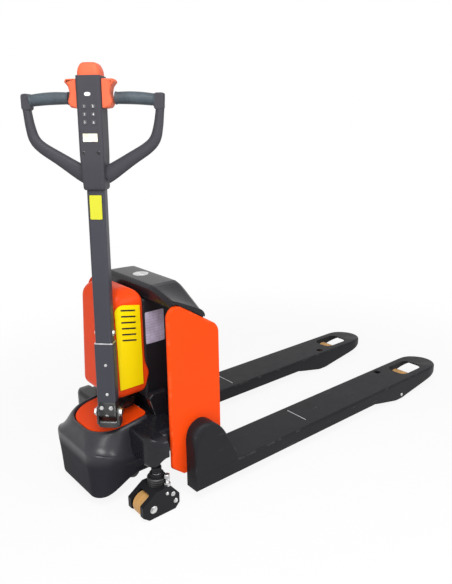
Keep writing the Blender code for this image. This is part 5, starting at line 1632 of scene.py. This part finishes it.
class TRUCK_OT_tiller_head(Builder, bpy.types.Operator):
    """Control head with its six numbered keys, lamp, blank label and screws"""

    bl_idname = "truck.tiller_head"
    bl_label = "Tiller head"

    def execute(self, context):
        on_tiller("head_housing", [head_body()], "charcoal_moulded", ["tiller_head"])
        lamp = oval(*LAMP_HALF, LAMP_POWER, 32) + LAMP_PLACE
        label = rectangle((-LABEL_HALF, LABEL_Z[0]), (LABEL_HALF, LABEL_Z[1]), LABEL_ROUND, 4)
        for name, outline, (rear, front), edge, finish in (
            ("head_lamp", lamp, LAMP_Y, 0.0012, "clear_lamp"),
            ("head_label", label, LABEL_Y, 0.0001, "cream_label"),
        ):
            shell = prism(outline, HEAD_REAR + rear, HEAD_REAR + front, "Y", low_edge=edge)
            on_tiller(name, [shell], finish)
        screws = [
            turned(SCREW_PROFILE, (x, HEAD_REAR + SCREW_SUNK, SCREW_Z), (0, -1, 0), 24)
            for x in (-SCREW_X, SCREW_X)
        ]
        on_tiller("head_screws", screws, "dark_steel")
        for index in range(KEYS):
            self.key(index)
        return {"FINISHED"}

    def key(self, index):
        """One soft key and the plain digit printed on it."""
        body, face = f"key_{index + 1}", HEAD_REAR - KEY_PROUD
        x, z = (index % 2 - 0.5) * KEY_PITCH_X, KEY_TOP_Z - index // 2 * KEY_PITCH_Z
        outline = centred((KEY_HALF, KEY_HALF), KEY_ROUND, 5, (x, z))
        cap = prism(outline, face, HEAD_REAR + KEY_SUNK, "Y", low_edge=0.0009)
        on_tiller(f"key_cap_{index + 1}", [cap], "key_cap", [body], body)
        mesh = digit_mesh(str(index + 1))
        mesh.transform(Matrix(TILLER @ shift(x, face - DIGIT_PROUD, z) @ turn(90, "X")))
        finished(linked(f"digit_{index + 1}", mesh), "white_print", body)


def digit_mesh(digit):
    """A printed digit as a thin mesh, centred on the origin."""
    text = bpy.data.curves.new(f"digit_{digit}", "FONT")
    text.body = digit
    text.size = DIGIT_SIZE
    text.align_x, text.align_y = "CENTER", "CENTER"
    text.extrude = DIGIT_DEPTH
    guide = linked(f"digit_text_{digit}", text)
    graph = bpy.context.evaluated_depsgraph_get()
    mesh = bpy.data.meshes.new_from_object(guide.evaluated_get(graph))
    bpy.data.objects.remove(guide)
    return mesh


# A handle loop's centre line from the head out to the grip's end, its width across, and the grip
LOOP_LINE = (
    (0.026, 0.6540), (0.045, 0.6640), (0.090, 0.6925), (0.136, 0.7215), (0.1555, 0.7430), (0.1640, 0.7730),
    (0.1688, 0.8080), (0.1712, 0.8320), (0.1718, 0.8500),
)
LOOP_WIDTHS = (0.045, 0.041, 0.034, 0.030, 0.028, 0.0245, 0.0215, 0.0215, 0.0215)
LOOP_POINTS, LOOP_POWER, LOOP_CAP, LOOP_CAP_SHARE = 72, 2.15, 0.004, 0.985
GRIP_Z, GRIP_R, GRIP_SWELL, GRIP_X, GRIP_DROOP = 0.839, 0.0144, 0.0010, (0.0580, 0.160), 0.005
# The grip's lips, ridges and round ends, whose places are shares of its length
GRIP_LIP, GRIP_LIP_AT, GRIP_LIP_WIDTH = 0.0016, (0.025, 0.975), 0.02
GRIP_RIDGE, GRIP_RIDGES, GRIP_RIDGE_START, GRIP_RIDGE_END = 0.00022, 22, (0.06, 0.10), (0.90, 0.94)
GRIP_END, GRIP_END_SHARE = 0.0030, 0.016
END_CAP_X, END_CAP_Z, END_CAP_Y, END_CAP_ROUND = (0.1560, 0.1802), (0.8130, 0.8530), 0.0128, 0.0075


class TRUCK_OT_handles(Builder, bpy.types.Operator):
    """Flattened handle loops and the bowed rubber grips"""

    bl_idname = "truck.handles"
    bl_label = "Handles"

    def execute(self, context):
        outline = rectangle(*zip(END_CAP_X, END_CAP_Z), END_CAP_ROUND)
        cap = prism(outline, -END_CAP_Y, END_CAP_Y, "Y", low_edge=0.003, high_edge=0.003)
        for side, label in SIDES:
            for name, shell, finish, slot, nodes in (
                ("loop_blade", self.loop(), "charcoal_moulded", "black_plastic", [f"handle_loop_{label}"]),
                ("grip_sleeve", self.grip(), "grip_rubber", "grip_rubber", [f"grip_{label}"]),
                ("grip_cap", cap, "charcoal_moulded", "black_plastic", ()),
            ):
                on_tiller(f"{name}_{label}", mirrored([shell], side), finish, nodes)
        return {"FINISHED"}

    def loop(self):
        """A superelliptic blade swept along the loop, as wide as its table says, closed by a round top."""
        line, width = spline(LOOP_LINE, LOOP_POINTS), spline(np.array(LOOP_WIDTHS)[:, None], LOOP_POINTS)
        share = np.linspace(0, LOOP_CAP_SHARE, 7)[1:, None]
        end = np.sqrt(1 - share**2)
        cap = line[-1] + share * unit(line[-1] - line[-2]) * LOOP_CAP
        line, width = np.concatenate([line, cap]), np.concatenate([width, width[-1] * end])
        depth = self.sizes.loop_depth * np.concatenate([np.ones((LOOP_POINTS, 1)), end])
        profile = oval(0.5, 0.5, LOOP_POWER, 40) * np.stack([width, depth], -1)
        return sweep(np.stack([line[:, 0], 0 * line[:, 0], line[:, 1]], -1), profile)

    def grip(self):
        """A sleeve on a shallow bow: its radius swells by a sine of the length, with a lip at each end."""
        t = np.linspace(0, 1, 90)
        height = GRIP_Z + self.sizes.grip_bow * np.sin(np.pi * t) + GRIP_DROOP * (0.5 - t)
        path = np.stack([GRIP_X[0] + (GRIP_X[1] - GRIP_X[0]) * t, 0 * t, height], -1)
        lip = GRIP_LIP * sum(bump_at(t, place, GRIP_LIP_WIDTH) for place in GRIP_LIP_AT)
        ridged = ease(t, *GRIP_RIDGE_START) * (1 - ease(t, *GRIP_RIDGE_END))
        ridge = GRIP_RIDGE * np.cos(2 * np.pi * GRIP_RIDGES * t) * ridged
        ends = round_over(GRIP_END, 1 - np.minimum(t, 1 - t) / GRIP_END_SHARE)
        radius = GRIP_R + GRIP_SWELL * np.sin(np.pi * t) + lip + ridge - ends
        return sweep(path, oval(1, 1, 2.0, 40) * radius[:, None, None])


# A paddle as seen from the operator's side, and the button's half sizes at heights above the head
PADDLE_CORNERS = (
    (0.0322, 0.8165), (0.0490, 0.8180), (0.0565, 0.8310), (0.0500, 0.8520), (0.0535, 0.8680),
    (0.0630, 0.8790), (0.0590, 0.8860), (0.0322, 0.8860),
)
PADDLE_RADII = (0.003, 0.008, 0.010, 0.020, 0.012, 0.0030, 0.0035, 0.003)
PADDLE_Y, PADDLE_EDGE, PADDLE_FADE = (-0.0265, 0.0175), 0.0075, 0.008
BUTTON_LEVELS = (
    (-0.0062, 0.0290, 0.0290), (0.0000, 0.0290, 0.0290), (0.0060, 0.0288, 0.0289), (0.0120, 0.0280, 0.0284),
    (0.0180, 0.0262, 0.0274), (0.0235, 0.0236, 0.0256), (0.0275, 0.0206, 0.0230), (0.0300, 0.0172, 0.0196),
    (0.0312, 0.0130, 0.0150), (0.0315, 0.0080, 0.0100),
)
BUTTON_POWER = 5.0


class TRUCK_OT_controls(Builder, bpy.types.Operator):
    """Throttle paddles on both sides of the head, and the belly button on top"""

    bl_idname = "truck.controls"
    bl_label = "Controls"

    def execute(self, context):
        outline = rounded(PADDLE_CORNERS, PADDLE_RADII, 8)
        root = PADDLE_CORNERS[0][0]
        edge = PADDLE_EDGE * ease(outline[:, 0], root, root + PADDLE_FADE)
        paddle = prism(outline, *PADDLE_Y, "Y", low_edge=edge, high_edge=edge, steps=6)
        make_pair(
            "paddle", [paddle], "orange_controls", "throttle", "throttle_paddle", TILLER
        )
        cap = [self.button()]
        on_tiller("button_cap", cap, "orange_controls", ["belly_button"], "belly_switch")
        return {"FINISHED"}

    def button(self):
        """A dome: superelliptic sections whose half sizes follow a spline up to a flat crown."""
        rise, half, depth = spline(BUTTON_LEVELS, 40).T[..., None]
        across, along = oval(1, 1, BUTTON_POWER, 64).T
        plan = np.stack([across * half, along * depth + (HEAD_REAR + HEAD_FRONT) / 2], -1)
        return loft(lifted(plan, HEAD_TOP + rise))


class TRUCK_OT_inner_works(Builder, bpy.types.Operator):
    """The bulkhead, lift, pump, tank, controller and battery inside the frame"""

    bl_idname = "truck.inner_works"
    bl_label = "Inner works"

    def execute(self, context):
        for node, finish, edge, slot in (
            ("bulkhead", "fork_black", 0.002, "fork_paint"),
            ("lift_bracket", "dark_steel", 0.002, "dark_steel"),
            ("lift_ram", "zinc_plate_and_highlight", 0.001, "zinc_steel"),
            ("lift_barrel", "dark_steel", 0.0015, "dark_steel"),
            ("battery_pack", "black_box", 0.004, "black_plastic"),
            ("pump_motor", "dark_steel", 0.002, "dark_steel"),
            ("hydraulic_tank", "black_box", 0.004, "black_plastic"),
            ("motor_controller", "dark_steel", 0.002, "dark_steel"),
        ):
            softened(node, finish, edge)
        return {"FINISHED"}


# Soft lamps: name, place, what they face, size across and up, and watts
LAMPS = (
    ("key_softbox", (1.35, -1.35, 2.5), (0.1, -0.5, 0.4), (1.3, 1.0), 47.0),
    ("side_softbox", (2.1, 0.35, 1.2), (0.1, -0.6, 0.2), (1.2, 0.45), 16.0),
    ("front_softbox", (1.55, -2.4, 1.25), (0.1, -0.5, 0.4), (1.0, 0.5), 13.0),
)
AMBIENT = 0.27
FLOOR_HALF, FLOOR_DROP = 9.0, 0.0005
# How much of the floor's look is plain white, near the truck and beyond two distances
FLOOR_WHITE, FLOOR_WHITE_MORE, FLOOR_WHITE_SPAN = 0.90, 0.10, (0.7, 1.9)


def framed(x, y, z, place):
    """A 4 x 4 matrix from three axes and a place."""
    matrix = np.eye(4)
    matrix[:3] = np.stack([x, y, z, place], -1)
    return Matrix(matrix)


class TRUCK_OT_stage(Builder, bpy.types.Operator):
    """Pale floor, white surroundings, soft lamps and the photograph's camera"""

    bl_idname = "truck.stage"
    bl_label = "Stage"

    def execute(self, context):
        self.floor()
        self.surroundings()
        for lamp in LAMPS:
            self.lamp(*lamp)
        self.camera()
        context.scene.view_settings.view_transform = "Standard"
        return {"FINISHED"}

    def floor(self):
        """A square of pale floor, mixed with a white glow where it is seen, that keeps the truck's shadow."""
        corners = np.array([(-1, -1, 0), (1, -1, 0), (1, 1, 0), (-1, 1, 0)], float) * FLOOR_HALF
        mesh = bpy.data.meshes.new("floor")
        mesh.from_pydata((corners - (0, 0, FLOOR_DROP)).tolist(), [], [(0, 1, 2, 3)])
        made = Recipe("pale_floor", Specular_IOR_Level=0.0)
        made.finish(made.blend(made.noise(0.8, 2.0), grey(0.86), grey(0.90)), 0.9)
        away = made.node("ShaderNodeVectorMath", {"operation": "LENGTH"}, {0: made.place}, "Value")
        white = FLOOR_WHITE + away.between(*FLOOR_WHITE_SPAN) * FLOOR_WHITE_MORE
        glow = made.node("ShaderNodeEmission", (), {"Color": (1, 1, 1, 1), "Strength": 1.0})
        plain = Wire(made, made.shader.outputs[0])
        mixed = made.node("ShaderNodeMixShader", (), {0: made.seen() * white, 1: plain, 2: glow})
        made.feed(made.tree.nodes["Material Output"].inputs["Surface"], mixed)
        mesh.materials.append(made.material)
        linked("floor", mesh)

    def surroundings(self):
        """A white world for what the camera and reflections see, and a plain level for the light it gives."""
        world = bpy.data.worlds.new("studio")
        world.use_nodes = True
        sky = Nodes(world.node_tree)
        level = sky.node("ShaderNodeMapRange", (), {"Value": sky.seen(), "To Min": AMBIENT})
        background = sky.tree.nodes["Background"]
        sky.feed(background.inputs["Strength"], level)
        sky.feed(background.inputs["Color"], (1, 1, 1, 1))
        bpy.context.scene.world = world

    def lamp(self, name, place, target, size, power):
        """A rectangular area lamp that faces its target, with its width level."""
        light = bpy.data.lights.new(name, "AREA")
        light.shape = "RECTANGLE"
        light.size, light.size_y = size
        light.energy = power
        back = unit(np.subtract(place, target))
        across = unit(np.cross((0, 0, 1), back))
        linked(name, light).matrix_world = framed(across, np.cross(back, across), back, place)

    def camera(self):
        """The fitted camera: azimuth and elevation give its axes, and the roll turns it about its view."""
        azimuth, elevation, roll = np.radians((CAMERA_AZIMUTH, CAMERA_ELEVATION, CAMERA_ROLL))
        level = np.cos(elevation)
        back = np.array((np.sin(azimuth) * level, -np.cos(azimuth) * level, np.sin(elevation)))
        right = np.array((np.cos(azimuth), np.sin(azimuth), 0))
        up = np.cross(back, right)
        across = right * np.cos(roll) + up * np.sin(roll)
        above = up * np.cos(roll) - right * np.sin(roll)
        data = bpy.data.cameras.new("camera")
        data.sensor_width = SENSOR_MM
        data.lens = FOCAL_PIXELS / IMAGE_HEIGHT * SENSOR_MM
        obj = linked("camera", data)
        obj.matrix_world = framed(across, above, back, CAMERA_PLACE)
        bpy.context.scene.camera = obj


OPERATORS = (
    TRUCK_OT_stage, TRUCK_OT_forks, TRUCK_OT_heel_gussets, TRUCK_OT_side_panels, TRUCK_OT_arch,
    TRUCK_OT_power_box, TRUCK_OT_front_body, TRUCK_OT_drive_cover, TRUCK_OT_base, TRUCK_OT_casters,
    TRUCK_OT_load_wheels, TRUCK_OT_steering, TRUCK_OT_tiller_pole, TRUCK_OT_tiller_head, TRUCK_OT_handles,
    TRUCK_OT_controls, TRUCK_OT_inner_works,
)


class TRUCK_PT_panel(bpy.types.Panel):
    """The truck's sizes, colours and pieces"""

    bl_idname = "TRUCK_PT_panel"
    bl_label = "Pallet truck"
    bl_space_type = "VIEW_3D"
    bl_region_type = "UI"
    bl_category = "Truck"

    def draw(self, context):
        for group in (context.scene.truck_sizes, context.scene.truck_colours):
            column = self.layout.column(align=True)
            for name in group.__annotations__:
                column.prop(group, name)
        for operator in OPERATORS:
            self.layout.operator(operator.bl_idname)


CLASSES = (TruckSizes, TruckColours, *OPERATORS, TRUCK_PT_panel)


def register():
    """Registers the classes, and gives the scene its sizes and colours."""
    for cls in CLASSES:
        bpy.utils.register_class(cls)
    bpy.types.Scene.truck_sizes = bpy.props.PointerProperty(type=TruckSizes)
    bpy.types.Scene.truck_colours = bpy.props.PointerProperty(type=TruckColours)


def unregister():
    """Takes back what register gave."""
    del bpy.types.Scene.truck_colours
    del bpy.types.Scene.truck_sizes
    for cls in reversed(CLASSES):
        bpy.utils.unregister_class(cls)


def main():
    """Builds the whole truck."""
    register()
    for operator in OPERATORS:
        getattr(bpy.ops.truck, operator.bl_idname.split(".")[1])()


if __name__ == "__main__":
    main()
